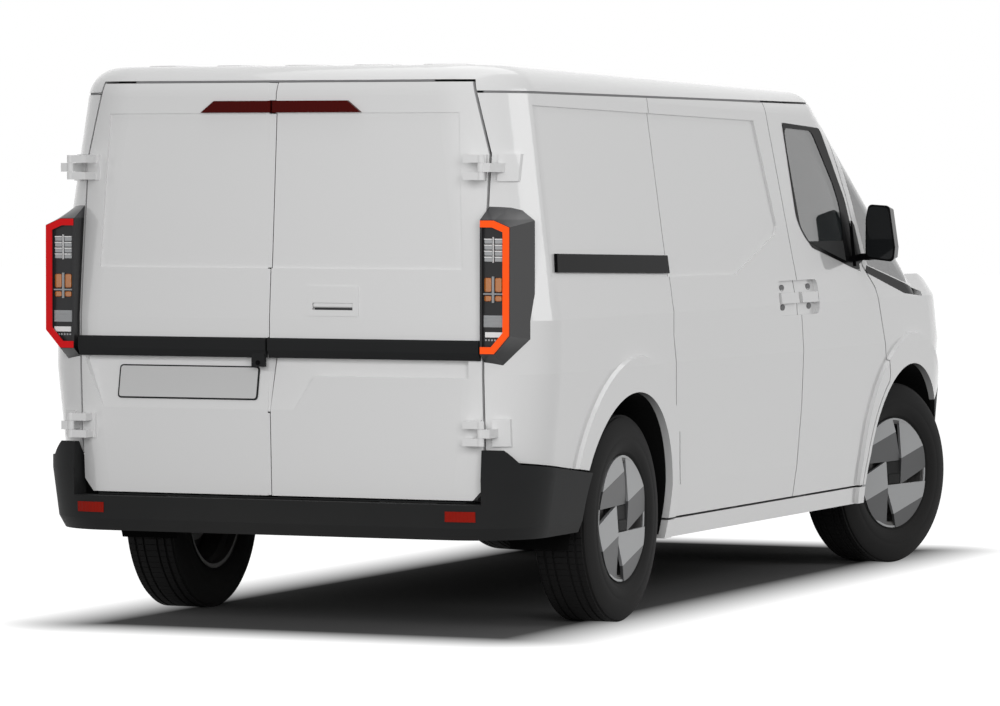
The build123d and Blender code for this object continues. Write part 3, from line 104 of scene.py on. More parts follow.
# %% A finish with its own shader
# a Mix node has sockets for several types, and these three are the ones for colours
mix_colour_a, mix_colour_b, mix_colour_out = 6, 7, 2


class Finish:
    """A material: a Principled shader, the object coordinates and a way to add nodes."""

    def __init__(self, name, colour, roughness, metallic=0.0, coat=0.0, alpha=1.0, specular=0.5):
        self.material = bpy.data.materials.new(name)
        self.material.use_nodes = True
        self.tree = self.material.node_tree
        self.shader = self.tree.nodes["Principled BSDF"]
        self.place = self.node("ShaderNodeTexCoord", out="Object")
        self.feed("Base Color", colour)
        self.feed("Roughness", roughness)
        self.feed("Metallic", metallic)
        self.feed("Coat Weight", coat)
        self.feed("Alpha", alpha)
        self.feed("Specular IOR Level", specular)

    def node(self, kind, inputs=None, out=0, **settings):
        """A node of any type: its settings first, then its inputs by name or number."""
        made = self.tree.nodes.new(kind)
        for name, value in settings.items():
            setattr(made, name, value)
        for name, value in (inputs or {}).items():
            plug(self.tree, made.inputs[name], value)
        return Wire(self.tree, made.outputs[out])

    def feed(self, slot, value):
        """Gives one of the shader's own sockets a value or a wire."""
        plug(self.tree, self.shader.inputs[slot], value)
        return self

    def noise(self, scale, detail=2.0):
        """Cloudy noise on the object's own coordinates."""
        return self.node("ShaderNodeTexNoise", {"Vector": self.place, "Scale": scale, "Detail": detail})

    def axis(self, letter):
        """One of the object coordinates, in metres."""
        return self.node("ShaderNodeSeparateXYZ", {"Vector": self.place}, out=letter)

    def blend(self, share, first, second):
        """Colour that goes from the first to the second as share goes from 0 to 1."""
        made = self.tree.nodes.new("ShaderNodeMix")
        made.data_type = "RGBA"
        plug(self.tree, made.inputs["Factor"], share)
        plug(self.tree, made.inputs[mix_colour_a], first)
        plug(self.tree, made.inputs[mix_colour_b], second)
        return Wire(self.tree, made.outputs[mix_colour_out])

    def bump(self, height, distance):
        """Sinks or raises the surface's look by a height in metres."""
        bumps = {"Height": height, "Distance": distance, "Strength": 1.0}
        return self.feed("Normal", self.node("ShaderNodeBump", bumps))

    def grain(self, scale, depth, detail=2.0):
        """Fine bumps of cloudy noise, of a depth in metres."""
        return self.bump(self.noise(scale, detail), depth)


# %% [markdown]
# ## The camera
# The photograph was taken from far behind and to the right with a long lens, a little above the
# bumper. The camera's place was worked out from the wheels, the doors' edges and the lamps.

# %% Camera at the photograph's place
camera_place = Vector((-18.499, -7.489, 1.569))
camera_yaw, camera_pitch, camera_roll = (math.radians(a) for a in (22.559, -1.957, 0.063))
look = Vector(
    (
        math.cos(camera_pitch) * math.cos(camera_yaw),
        math.cos(camera_pitch) * math.sin(camera_yaw),
        math.sin(camera_pitch),
    )
)
camera_data = bpy.data.cameras.new("camera")
camera_data.sensor_width = 36
camera_data.lens = 187.2
camera_data.clip_end = 200
camera = bpy.data.objects.new("camera", camera_data)
bpy.context.scene.collection.objects.link(camera)
camera.location = camera_place
camera.rotation_mode = "QUATERNION"
roll = Matrix.Rotation(camera_roll, 3, "Z").to_quaternion()
camera.rotation_quaternion = look.to_track_quat("-Z", "Y") @ roll
bpy.context.scene.camera = camera
print("camera stands", round((camera_place - Vector((0, 0, 1))).length, 1), "m from the van")

# %% [markdown]
# ## The studio
# The van stands on a white floor that runs into a white background. To a camera ray, and to what
# glass and paint mirror, the floor is plain white away from the van. Its base is dark grey, and in
# a box around the van the white is left out, a painted shadow over the shadow its own shading keeps.
# Large soft lamps stand over, behind and beside the van, so that each panel has a slow change of tone.

# %% Floor, world and lamps
scene = bpy.context.scene
scene.view_settings.view_transform = "Standard"
floor_reach = 60
shadow_half_length, shadow_half_width, shadow_fade = 2.25, 0.75, 0.4
world_light, world_seen = 0.28, 1.0

floor_shape = bmesh.new()
bmesh.ops.create_grid(floor_shape, x_segments=1, y_segments=1, size=floor_reach)
floor_mesh = bpy.data.meshes.new("floor")
floor_shape.to_mesh(floor_mesh)
floor_shape.free()
floor = bpy.data.objects.new("floor", floor_mesh)
scene.collection.objects.link(floor)
floor_finish = Finish("floor_with_painted_shadow", (0.2, 0.2, 0.2), 0.9, specular=0.0)
# the floor's base is dark grey; its white emission fades in only past a box around the van, so the box shows as a
# painted shadow
along, across = floor_finish.axis("X"), floor_finish.axis("Y")
past_end = along.math("ABSOLUTE", along) - shadow_half_length
past_side = across.math("ABSOLUTE", across) - shadow_half_width
for past in (past_end, past_side):
    past.socket.node.use_clamp = True
outside_painted_shadow = past_end * past_end + past_side * past_side
outside_painted_shadow = outside_painted_shadow.math("SQRT", outside_painted_shadow).ramp(0.0, shadow_fade)
floor_rays = floor_finish.node("ShaderNodeLightPath", out="Is Camera Ray")
for kind in ("Is Glossy Ray", "Is Transmission Ray"):
    floor_rays = floor_rays + floor_finish.node("ShaderNodeLightPath", out=kind)
floor_finish.feed("Emission Color", floor_finish.blend(outside_painted_shadow * floor_rays, (0, 0, 0), (1, 1, 1)))
floor_finish.feed("Emission Strength", 1.0)
floor.data.materials.append(floor_finish.material)

world = bpy.data.worlds.new("studio")
scene.world = world
world.use_nodes = True
sky = world.node_tree
background = sky.nodes["Background"]
rays = sky.nodes.new("ShaderNodeLightPath")
seen = Wire(sky, rays.outputs["Is Camera Ray"])
mirrored = Wire(sky, rays.outputs["Is Glossy Ray"]) + Wire(sky, rays.outputs["Is Transmission Ray"])
white = seen + mirrored
white.socket.node.use_clamp = True
plug(sky, background.inputs["Strength"], white * (world_seen - world_light) + world_light)
background.inputs["Color"].default_value = (1, 1, 1, 1)


def soft_lamp(name, place, target, size, power):
    """A large rectangular lamp that points at a target."""
    data = bpy.data.lights.new(name, "AREA")
    data.shape = "RECTANGLE"
    data.size, data.size_y = size
    data.energy = power
    lamp = bpy.data.objects.new(name, data)
    scene.collection.objects.link(lamp)
    lamp.location = place
    lamp.rotation_mode = "QUATERNION"
    lamp.rotation_quaternion = (Vector(target) - Vector(place)).to_track_quat("-Z", "Y")
    return lamp


soft_lamp("overhead", (0, 0, 7), (0, 0, 0), (8, 5), 130)
rear_lamp = soft_lamp("behind", (-9, -3, 2.5), (-1, 0, 1), (6, 3), 330)
rear_lamp.visible_glossy = False
soft_lamp("right_side", (1, -9, 4), (0, 0, 1), (7, 3), 140)

# %% [markdown]
# ## Finishes of the solids
# Each of the record's material slots gets one procedural finish. Paint has a clear coat over a
# slightly wavy base, moulded plastic a fine grain, and rubber a dry dusty face.


# %% Painted panels
def dusty(finish, clean, dust, top, amount):
    """Colour of a finish with a thin veil of dust that thickens towards the ground."""
    low = finish.axis("Z").ramp(top, 0.1)
    patches = finish.noise(3.0, 4.0)
    return finish.blend(low * patches * amount, clean, dust)


road_dust = (0.46, 0.43, 0.39)
white_paint = Finish("white_paint", (0.755, 0.755, 0.755), 0.32, coat=1.0)
white_paint.feed("Base Color", dusty(white_paint, (0.755, 0.755, 0.755), road_dust, 0.7, 0.16))
white_paint.feed("Coat Roughness", 0.03)
white_paint.grain(160.0, 0.00004)

# %% Plastics, metals, glass and cloth
grained = Finish("dark_plastic", (0.017, 0.0175, 0.018), 0.6, specular=0.10)
grained.feed("Base Color", dusty(grained, (0.017, 0.0175, 0.018), road_dust, 0.6, 0.05))
grained.grain(900.0, 0.00015, 3.0)

gloss_black = Finish("black_gloss", (0.004, 0.004, 0.0045), 0.15, specular=0.03)
gloss_black.feed("Roughness", gloss_black.noise(6.0) * 0.1 + 0.1)

window_glass = Finish("window_glass", (0.02, 0.026, 0.028), 0.02, alpha=0.72, coat=1.0)
window_glass.feed("Roughness", window_glass.noise(2.0) * 0.02 + 0.01)

clear_lamp = Finish("clear_lamp", (0.42, 0.45, 0.48), 0.08, coat=1.0).grain(120.0, 0.0003)

red_lamp = Finish("red_lamp", (0.16, 0.006, 0.004), 0.2, specular=0.06)
high_share = red_lamp.axis("Z").ramp(1.0, 1.2)
red_lamp.feed("Base Color", red_lamp.blend(high_share, (0.30, 0.012, 0.006), (0.070, 0.003, 0.002)))
ribs = red_lamp.node("ShaderNodeTexWave", {"Vector": red_lamp.place, "Scale": 25.0}, bands_direction="Y")
red_lamp.bump(ribs, 0.0006)

lit_ring = Finish("lit_ring", (0.95, 0.10, 0.02), 0.3, specular=0.1)
# the ring is painted brighter on the van's right than on its left: painted light on the side that faces the lamps
painted_light_side = lit_ring.axis("Y").ramp(0.2, -0.2)
ring_colour = lit_ring.blend(painted_light_side, (0.50, 0.008, 0.010), (0.90, 0.09, 0.012))
lit_ring.feed("Base Color", ring_colour)
lit_ring.feed("Emission Color", ring_colour)
lit_ring.feed("Emission Strength", 0.35)

lamp_housing = Finish("lamp_housing", (0.020, 0.020, 0.021), 0.3, coat=0.1, specular=0.25)
# a thin lighter band at the housing's top is a painted highlight, and below 1.012 m it is painted darker as shade
top_painted_highlight = lamp_housing.axis("Z").ramp(1.418, 1.424)
foot_painted_shade = lamp_housing.axis("Z").ramp(1.012, 0.975)
housing_colour = lamp_housing.blend(top_painted_highlight, (0.022, 0.022, 0.023), (0.07, 0.07, 0.073))
lamp_housing.feed("Base Color", lamp_housing.blend(foot_painted_shade, housing_colour, (0.006, 0.006, 0.0065)))
lamp_housing.grain(150.0, 0.00005)

black_steel = Finish("black_steel", (0.03, 0.03, 0.032), 0.5, metallic=0.3)
black_steel.feed("Base Color", dusty(black_steel, (0.03, 0.03, 0.032), road_dust, 0.8, 0.25))
cast_housing = Finish("cast_housing", (0.45, 0.46, 0.47), 0.45, metallic=0.9)
cast_housing.grain(300.0, 0.0004, 3.0)
battery_case = Finish("battery_case", (0.06, 0.06, 0.065), 0.5).grain(40.0, 0.0003)
inner_steel = Finish("inner_steel", (0.42, 0.43, 0.44), 0.45).grain(60.0, 0.0002)
cab_plastic = Finish("cab_plastic", (0.045, 0.045, 0.05), 0.6).grain(700.0, 0.0002)

seat_cloth = Finish("seat_cloth", (0.06, 0.062, 0.07), 0.9)
weave = seat_cloth.node("ShaderNodeTexChecker", {"Vector": seat_cloth.place, "Scale": 500.0}, out="Fac")
seat_cloth.bump(weave, 0.0003)

rubber_black = (0.010, 0.010, 0.0103)
rubber_dust = (0.035, 0.033, 0.031)
tyre_rubber = Finish("tyre_rubber", rubber_black, 0.8, specular=0.2)
tyre_rubber.feed("Base Color", dusty(tyre_rubber, rubber_black, rubber_dust, 0.9, 0.35))
tyre_rubber.grain(250.0, 0.0003, 3.0)

wheel_silver = Finish("wheel_silver", (0.36, 0.365, 0.37), 0.4, metallic=0.3, coat=0.2)
wheel_silver.grain(500.0, 0.00005)

finish_of_slot = {
    "white_paint": white_paint,
    "window_glass": window_glass,
    "black_gloss": gloss_black,
    "dark_plastic": grained,
    "clear_lamp": clear_lamp,
    "red_lamp": red_lamp,
    "lit_ring": lit_ring,
    "lamp_housing": lamp_housing,
    "black_steel": black_steel,
    "cast_housing": cast_housing,
    "battery_case": battery_case,
    "inner_steel": inner_steel,
    "cab_plastic": cab_plastic,
    "seat_cloth": seat_cloth,
    "tyre": tyre_rubber,
    "wheel_silver": wheel_silver,
}

# %% Every solid takes its slot's finish
for entry in frame["record"]["subparts"]:
    solid = nodes[entry["node"]]
    solid.data.materials.clear()
    solid.data.materials.append(finish_of_slot[entry["material_slot"]].material)
print("finished", len(nodes), "solids")

# %% [markdown]
# ## Pieces from bmesh operators
# A new piece starts as a circle, a grid or a few vertices, and spin, extrude, inset and bevel
# shape it. It then rides on a body of the van, and stands for a solid where it takes its place.


# %% A finished piece
sides = ((1, "left"), (-1, "right"))


def new_piece(name, shape, finish, body, replaces=(), smooth=False):
    """Turns a bmesh into an object that rides on a body."""
    bmesh.ops.remove_doubles(shape, verts=shape.verts, dist=1e-6)
    bmesh.ops.recalc_face_normals(shape, faces=shape.faces)
    mesh = bpy.data.meshes.new(name)
    shape.to_mesh(mesh)
    shape.free()
    if smooth:
        for polygon in mesh.polygons:
            polygon.use_smooth = True
    finishes = finish if isinstance(finish, (list, tuple)) else [finish]
    for one in finishes:
        mesh.materials.append(one.material)
    piece = bpy.data.objects.new(name, mesh)
    scene.collection.objects.link(piece)
    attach(piece, body)
    for node in replaces:
        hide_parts(node)
    return piece


def box_shape(low, high, edge=0.0, segments=2, shape=None):
    """A block between two corners, with its edges rounded by a radius."""
    shape = shape or bmesh.new()
    made = bmesh.ops.create_cube(shape, size=1.0)["verts"]
    size = [b - a for a, b in zip(low, high)]
    bmesh.ops.scale(shape, vec=size, verts=made)
    bmesh.ops.translate(shape, vec=[(a + b) / 2 for a, b in zip(low, high)], verts=made)
    if edge:
        edges = {e for v in made for e in v.link_edges}
        bmesh.ops.bevel(
            shape,
            geom=list(edges),
            offset=edge,
            offset_type="OFFSET",
            affect="EDGES",
            segments=segments,
            profile=0.5,
            material=-1,
        )
    return shape


def add_cone(shape, segments, foot, top, length, place):
    """A closed cone or cylinder about the Z axis, set in place by a matrix."""
    bmesh.ops.create_cone(
        shape,
        cap_ends=True,
        segments=segments,
        radius1=foot,
        radius2=top,
        depth=length,
        matrix=place,
    )


def thickened(shape, faces, shift):
    """Extrudes faces and moves the copy by a shift, which makes a sheet a plate."""
    lifted = bmesh.ops.extrude_face_region(shape, geom=faces)["geom"]
    copied = [part for part in lifted if isinstance(part, bmesh.types.BMVert)]
    bmesh.ops.translate(shape, vec=shift, verts=copied)
    return shape


def plate_of(points, shift):
    """A flat outline of points, made thick by a shift."""
    shape = bmesh.new()
    face = shape.faces.new([shape.verts.new(point) for point in points])
    return thickened(shape, [face], shift)


def ribbon(rows):
    """A band of faces through rows of two points each."""
    shape = bmesh.new()
    rows = [[shape.verts.new(point) for point in row] for row in rows]
    for near, far in zip(rows, rows[1:]):
        shape.faces.new((near[0], near[1], far[1], far[0]))
    return shape


def thick_ribbon(rows, shift):
    """A band through rows of two points each, made thick by a shift."""
    shape = ribbon(rows)
    return thickened(shape, shape.faces[:], shift)


# %% [markdown]
# ## Tyres
# A van tyre is a smooth carcass with a ribbed tread. Its section is drawn once and spun about the
# axle, as the real one is built on a drum. Each rib is then inset face by face, which leaves the
# narrow cuts between the blocks. The tread stands no higher than the solid's.

# %% A tyre's section and tread
crown = 0.364
groove_floor = 0.357
block_gap = 0.0014
smooth_below = 0.35
rib_edges = (-0.084, -0.062, -0.054, -0.030, -0.024, 0.024, 0.030, 0.054, 0.062, 0.084)
side_points = (
    (0.2066, 0.086),
    (0.2290, 0.0885),
    (0.2330, 0.0930),
    (0.2365, 0.0985),
    (0.2420, 0.0992),
    (0.2480, 0.1030),
    (0.2640, 0.1078),
    (0.2830, 0.1094),
    (0.2860, 0.1084),
    (0.2890, 0.1091),
    (0.3080, 0.1074),
    (0.3260, 0.1040),
    (0.3400, 0.0995),
    (0.3500, 0.0960),
    (0.3570, 0.0915),
)
tyre_steps = 96


def tyre_shape():
    """Spun tyre with blocks on its ribs, with its axle along Y."""
    section = [(r, -y) for r, y in side_points]
    for index, y in enumerate(rib_edges):
        section.append((groove_floor, y))
    section += [(r, y) for r, y in reversed(side_points)]
    shape = bmesh.new()
    verts = [shape.verts.new((r, y, 0)) for r, y in section]
    edges = [shape.edges.new(pair) for pair in zip(verts, verts[1:])]
    bmesh.ops.spin(
        shape,
        geom=verts + edges,
        cent=(0, 0, 0),
        axis=(0, 1, 0),
        angle=math.tau,
        steps=tyre_steps,
        use_merge=True,
    )
    bmesh.ops.remove_doubles(shape, verts=shape.verts, dist=1e-5)
    bmesh.ops.recalc_face_normals(shape, faces=shape.faces)
    for low, high in zip(rib_edges[0::2], rib_edges[1::2]):
        rib = []
        for face in shape.faces:
            middle = face.calc_center_median()
            if low < middle.y < high and abs(math.hypot(*middle.xz) - groove_floor) < 0.001:
                rib.append(face)
        bmesh.ops.inset_individual(shape, faces=rib, thickness=block_gap, depth=crown - groove_floor)
    for face in shape.faces:
        face.smooth = math.hypot(*face.calc_center_median().xz) < smooth_below
    return shape


# %% Where each wheel stands
def hub_matrix(end, side):
    """Matrix from a wheel drawn about the origin, outboard along +Y, to its place on the van."""
    joint = next(j for j in frame["joints"] if j["name"] == f"wheel_{end}_{side}_spin")
    outboard = Vector(joint["axis"]).normalized() * (1 if side == "left" else -1)
    up = Vector((0, 0, 1))
    forward = outboard.cross(up)
    turn = Matrix((forward, outboard, up)).transposed().to_4x4()
    return Matrix.Translation(joint["pos_m"]) @ turn


wheel_places = [(end, side) for end in ("front", "rear") for side in ("left", "right")]
for end, side in wheel_places:
    shape = tyre_shape()
    bmesh.ops.transform(shape, matrix=hub_matrix(end, side), verts=shape.verts)
    name = f"tyre_{end}_{side}"
    piece = new_piece(f"treaded_{name}", shape, tyre_rubber, f"wheel_{end}_{side}", [name])
print("a tyre has", len(piece.data.polygons), "faces")

# %% [markdown]
# ## Wheels
# Behind the cover is a pressed steel wheel: a barrel with a dished disc and five nuts, also a
# spun section. The silver cover has four blades. Each one is a disc cut by two straight planes,
# creased along a line that runs the same way on all four. The half below the crease takes a darker
# copy of the silver, a painted shade, and the half above it the plain silver.

# %% Steel wheel
barrel_section = (
    (0.2210, -0.0940),
    (0.2210, -0.0905),
    (0.2060, -0.0900),
    (0.2055, -0.0600),
    (0.1930, -0.0450),
    (0.1930, 0.0200),
    (0.2055, 0.0600),
    (0.2060, 0.0900),
    (0.2225, 0.0900),
    (0.2225, 0.0870),
    (0.2000, 0.0870),
    (0.1950, 0.0600),
    (0.1850, 0.0330),
    (0.1500, 0.0560),
    (0.1100, 0.0640),
    (0.0750, 0.0500),
    (0.0550, 0.0500),
    (0.0500, 0.0640),
    (0.0000, 0.0660),
)
disc_brake_section = (
    (0.0330, -0.0100),
    (0.1220, -0.0100),
    (0.1220, 0.0140),
    (0.0620, 0.0140),
    (0.0620, 0.0300),
    (0.0330, 0.0300),
    (0.0330, -0.0100),
)
nut_count = 5
nut_circle = 0.065
nut_middle = 0.058
wheel_steel = Finish("wheel_steel", (0.05, 0.05, 0.052), 0.45, metallic=0.4)
wheel_steel.feed("Base Color", dusty(wheel_steel, (0.05, 0.05, 0.052), road_dust, 0.9, 0.2))


def spun_shape(section, steps, shape=None):
    """A section of (radius, along) points, spun about the Y axis."""
    shape = shape or bmesh.new()
    verts = [shape.verts.new((r, y, 0)) for r, y in section]
    edges = [shape.edges.new(pair) for pair in zip(verts, verts[1:])]
    bmesh.ops.spin(
        shape,
        geom=verts + edges,
        cent=(0, 0, 0),
        axis=(0, 1, 0),
        angle=math.tau,
        steps=steps,
        use_merge=True,
    )
    bmesh.ops.remove_doubles(shape, verts=shape.verts, dist=1e-6)
    return shape


def steel_wheel_shape():
    """Barrel, disc, brake disc and nuts of one wheel."""
    shape = spun_shape(barrel_section, 64)
    spun_shape(disc_brake_section, 48, shape)
    along_axle = Matrix.Rotation(math.radians(90), 4, "X")
    for index in range(nut_count):
        turn = Matrix.Rotation(math.tau * index / nut_count, 4, "Y")
        place = turn @ Matrix.Translation((nut_circle, nut_middle, 0)) @ along_axle
        add_cone(shape, 6, 0.011, 0.0105, 0.02, place)
    return shape


# %% Silver cover
# a darker copy of the silver for the blades' lower halves: painted shade
silver_painted_shade = Finish("silver_painted_shade", (0.075, 0.076, 0.078), 0.45, metallic=0.3, coat=0.1)
silver_painted_shade.grain(500.0, 0.00005)
cover_radius = 0.2225
blade_back = 0.0915
blade_rise = 0.009
blade_fall = 0.07
blade_thickness = 0.012
crease_slope = math.radians(17)
blade_corner = Vector((0.22, -0.22)) * cover_radius
blade_top = Vector((0.19, 0.98)) * cover_radius
blade_tip = Vector((0.996, 0.06)) * cover_radius
blade_creases = [Vector(p) for p in ((0.205, 0.26), (0.03, 0.75), (-0.205, -0.26), (-0.03, -0.75))]


def cut_flat(shape, point, direction, keep_left):
    """Cuts away one side of a line through a point in the XY plane."""
    normal = Vector((direction.y, -direction.x, 0))
    bmesh.ops.bisect_plane(
        shape,
        geom=shape.verts[:] + shape.edges[:] + shape.faces[:],
        plane_co=(*point, 0),
        plane_no=normal if keep_left else -normal,
        clear_outer=True,
    )


def blade_shape(index):
    """One blade of the cover, seen from outside with X to the viewer's right and Y up."""
    shape = bmesh.new()
    bmesh.ops.create_circle(shape, cap_ends=True, segments=96, radius=cover_radius)
    turn = Matrix.Rotation(math.radians(90 * index), 2)
    corner, top, tip = (turn @ p for p in (blade_corner, blade_top, blade_tip))
    cut_flat(shape, corner, top - corner, keep_left=False)
    cut_flat(shape, corner, tip - corner, keep_left=True)
    crease_point = blade_creases[index] * cover_radius
    crease_normal = Vector((-math.sin(crease_slope), math.cos(crease_slope), 0))
    bmesh.ops.bisect_plane(
        shape,
        geom=shape.verts[:] + shape.edges[:] + shape.faces[:],
        plane_co=(*crease_point, 0),
        plane_no=crease_normal,
    )
    # faces below the crease take the darker silver, painted shade; faces above it the plain silver
    for face in shape.faces:
        above = (face.calc_center_median().xy - crease_point).dot(crease_normal.xy) > 0
        face.material_index = 0 if above else 1
    for vert in shape.verts:
        vert.co.z = blade_rise - blade_fall * abs((vert.co.xy - crease_point).dot(crease_normal.xy))
    return thickened(shape, shape.faces[:], (0, 0, -blade_thickness))


seen_from_outside = Matrix(((-1, 0, 0, 0), (0, 0, 1, blade_back), (0, 1, 0, 0), (0, 0, 0, 1)))
ring_section = ((0.2140, 0.0880), (0.2225, 0.0880), (0.2225, 0.0935), (0.2140, 0.0925), (0.2140, 0.0880))


def joined(shapes):
    """Several bmeshes as one."""
    whole = bmesh.new()
    for shape in shapes:
        mesh = bpy.data.meshes.new("part")
        shape.to_mesh(mesh)
        shape.free()
        whole.from_mesh(mesh)
        bpy.data.meshes.remove(mesh)
    return whole


def cover_shape():
    """Four creased blades and the ring that they stand on."""
    blades = [blade_shape(index) for index in range(4)]
    for blade in blades:
        bmesh.ops.transform(blade, matrix=seen_from_outside, verts=blade.verts)
    return joined([*blades, spun_shape(ring_section, 96)])


def centre_shape():
    """Dark square centre with a rounded boss at its foot."""
    half = 0.21 * cover_radius
    shape = box_shape((-half, 0.070, -half), (half, 0.0905, half), 0.003)
    boss_low = (-half * 0.85, 0.088, -half * 0.95)
    boss_high = (half * 0.85, 0.098, -half * 0.1)
    return box_shape(boss_low, boss_high, 0.006, 3, shape)


for end, side in wheel_places:
    place = hub_matrix(end, side)
    body = f"wheel_{end}_{side}"
    for name, shape, finish, slot, replaced in (
        ("steel_wheel", steel_wheel_shape(), wheel_steel, "black_steel", [body]),
        ("wheel_cover", cover_shape(), [wheel_silver, silver_painted_shade], "wheel_silver", []),
        ("wheel_centre", centre_shape(), grained, "dark_plastic", []),
    ):
        bmesh.ops.transform(shape, matrix=place, verts=shape.verts)
        piece = new_piece(f"{name}_{end}_{side}", shape, finish, body, replaced)
        if name == "wheel_cover":
            soften = piece.modifiers.new("soft_edges", "BEVEL")
            soften.width = 0.0008
            soften.segments = 2
            soften.limit_method = "ANGLE"
print("four wheels with covers")

# %% [markdown]
# ## Shapes on the cab's side
# The cab's side leans inward and bends towards the screen. Flat trim is drawn by its outline seen
# from the side, given a thickness, and then laid on that surface point by point, as a sticker is.


# %% Flat shapes that are laid on the side
shoulder_z = 1.080
upper_rise = 0.880
shoulder_half = 0.940
upper_lean = 0.122
screen_bend = 0.4


def side_surface(x, z):
    """Distance of the cab's side from the van's middle, above the shoulder."""
    share = (z - shoulder_z) / upper_rise
    half = shoulder_half - upper_lean * share
    past = max(0.0, x - (1.614 - 1.193 * share))
    return half - screen_bend + math.sqrt(max(0.0, screen_bend**2 - past * past))


def lofted_flat(outline, low, high):
    """An outline of (x, z) points made a plate between two heights along Y."""
    return plate_of([(x, low, z) for x, z in outline], (0, high - low, 0))


def flat_frame(outer, inner, low, high):
    """The band between two outlines of (x, z) points, made a plate."""
    shape = bmesh.new()
    loops = []
    for outline in (outer, inner):
        corners = [shape.verts.new((x, low, z)) for x, z in outline]
        loops += [shape.edges.new(pair) for pair in zip(corners, corners[1:] + corners[:1])]
    band = bmesh.ops.bridge_loops(shape, edges=loops)["faces"]
    return thickened(shape, band, (0, high - low, 0))


def laid_on_side(shape, side):
    """Lays a flat shape on the cab's side: its Y becomes the height over the surface."""
    for vert in shape.verts:
        vert.co.y = side * (side_surface(vert.co.x, vert.co.z) + vert.co.y)
    return shape


def rounded(outline, radius, steps=4):
    """An outline with its corners cut by short arcs, none longer than 45 % of an edge."""
    points = []
    count = len(outline)
    for index in range(count):
        corner = Vector(outline[index])
        before = Vector(outline[index - 1]) - corner
        after = Vector(outline[(index + 1) % count]) - corner
        reach = min(radius, before.length * 0.45, after.length * 0.45)
        start = corner + before.normalized() * reach
        end = corner + after.normalized() * reach
        for step in range(steps + 1):
            t = step / steps
            points.append(tuple(start * (1 - t) ** 2 + corner * 2 * t * (1 - t) + end * t * t))
    return points


# %% [markdown]
# ## Cab windows
# The glass of each front door is dropped behind a black frame: narrow behind and above, and wide
# at the front, where the door's guide channel runs. A dark panel closes the corner below the
# glass, and a gloss black sail carries the mirror.

# %% Window frames, corner panels and mirror sails
window_outer = (
    (0.300, 1.772),
    (0.731, 1.754),
    (0.926, 1.474),
    (1.012, 1.197),
    (0.925, 1.207),
    (0.469, 1.292),
    (0.359, 1.374),
)
glass_edge = (
    (0.313, 1.752),
    (0.629, 1.743),
    (0.805, 1.541),
    (0.853, 1.455),
    (0.856, 1.380),
    (0.839, 1.313),
    (0.425, 1.315),
    (0.359, 1.369),
    (0.328, 1.415),
)
corner_panel = ((0.437, 1.3165), (0.838, 1.3145), (0.845, 1.236), (0.484, 1.304))
mirror_sail = ((0.962, 1.392), (0.985, 1.372), (1.030, 1.232), (0.945, 1.213))
for side, side_name in sides:
    body = f"front_door_{side_name}"
    frame_band = flat_frame(rounded(window_outer, 0.03), rounded(glass_edge, 0.035), 0.0004, 0.0022)
    laid_on_side(frame_band, side)
    new_piece(f"window_frame_{side_name}", frame_band, gloss_black, body)
    panel = laid_on_side(lofted_flat(corner_panel, 0.0023, 0.0034), side)
    new_piece(f"window_corner_{side_name}", panel, grained, body)
    sail = laid_on_side(lofted_flat(mirror_sail, 0.0024, 0.009), side)
    new_piece(f"mirror_sail_{side_name}", sail, gloss_black, body)
print("window frames on both front doors")

# %% [markdown]
# ## Door mirrors
# The mirror glass is a flat pane set in the rear of each housing, with a bright coat on its back.

# %% Mirror glass
mirror_glass = Finish("mirror_glass", (0.012, 0.013, 0.014), 0.04, specular=0.3)
pane_x, pane_depth = 1.0048, 0.0012
mirror_outline = (
    (0.953, 1.250),
    (1.058, 1.238),
    (1.063, 1.290),
    (1.041, 1.444),
    (0.962, 1.449),
    (0.953, 1.400),
)
for side, side_name in sides:
    points = [(pane_x, side * y, z) for y, z in rounded(mirror_outline, 0.02)]
    pane = plate_of(points, (-pane_depth, 0, 0))
    new_piece(f"mirror_pane_{side_name}", pane, mirror_glass, f"front_door_{side_name}")
print("a pane in each mirror")

# %% [markdown]
# ## Tail lamp insides
# Inside each coloured ring stand, from the top, eight clear cells behind a white cross, four amber
# bulbs behind another, a ribbed reflector and a bright bar. One table gives each group its
# rows and columns, and a loop places the blocks in the lamp's recess.

# %% Cells, bulbs and bars
clear_cell = Finish("clear_cell", (0.36, 0.37, 0.38), 0.25, coat=1.0).grain(400.0, 0.0004)
white_bar = Finish("white_bar", (0.85, 0.85, 0.85), 0.3, coat=1.0)
grey_reflector = Finish("grey_reflector", (0.30, 0.31, 0.32), 0.3, coat=0.6)
amber_bulb = Finish("amber_bulb", (0.50, 0.17, 0.03), 0.15, coat=1.0).grain(200.0, 0.0005)
lamp_floor_x = -2.466
lamp_columns = ((0.773, 0.801), (0.811, 0.838))
lamp_whole = (0.770, 0.842)
bulb_columns = ((0.774, 0.799), (0.812, 0.837))
bulb_rows = ((1.179, 1.227), (1.148, 1.167))
clear_rows = [(1.3405 - 0.020 * row, 1.3535 - 0.020 * row) for row in range(4)]
clear_tops = [(high, high + 0.004) for _, high in clear_rows]
rib_rows = [(1.0635 + 0.0045 * row, 1.0665 + 0.0045 * row) for row in range(8)]
dash_columns = [(0.776 + 0.011 * index, 0.782 + 0.011 * index) for index in range(6)]
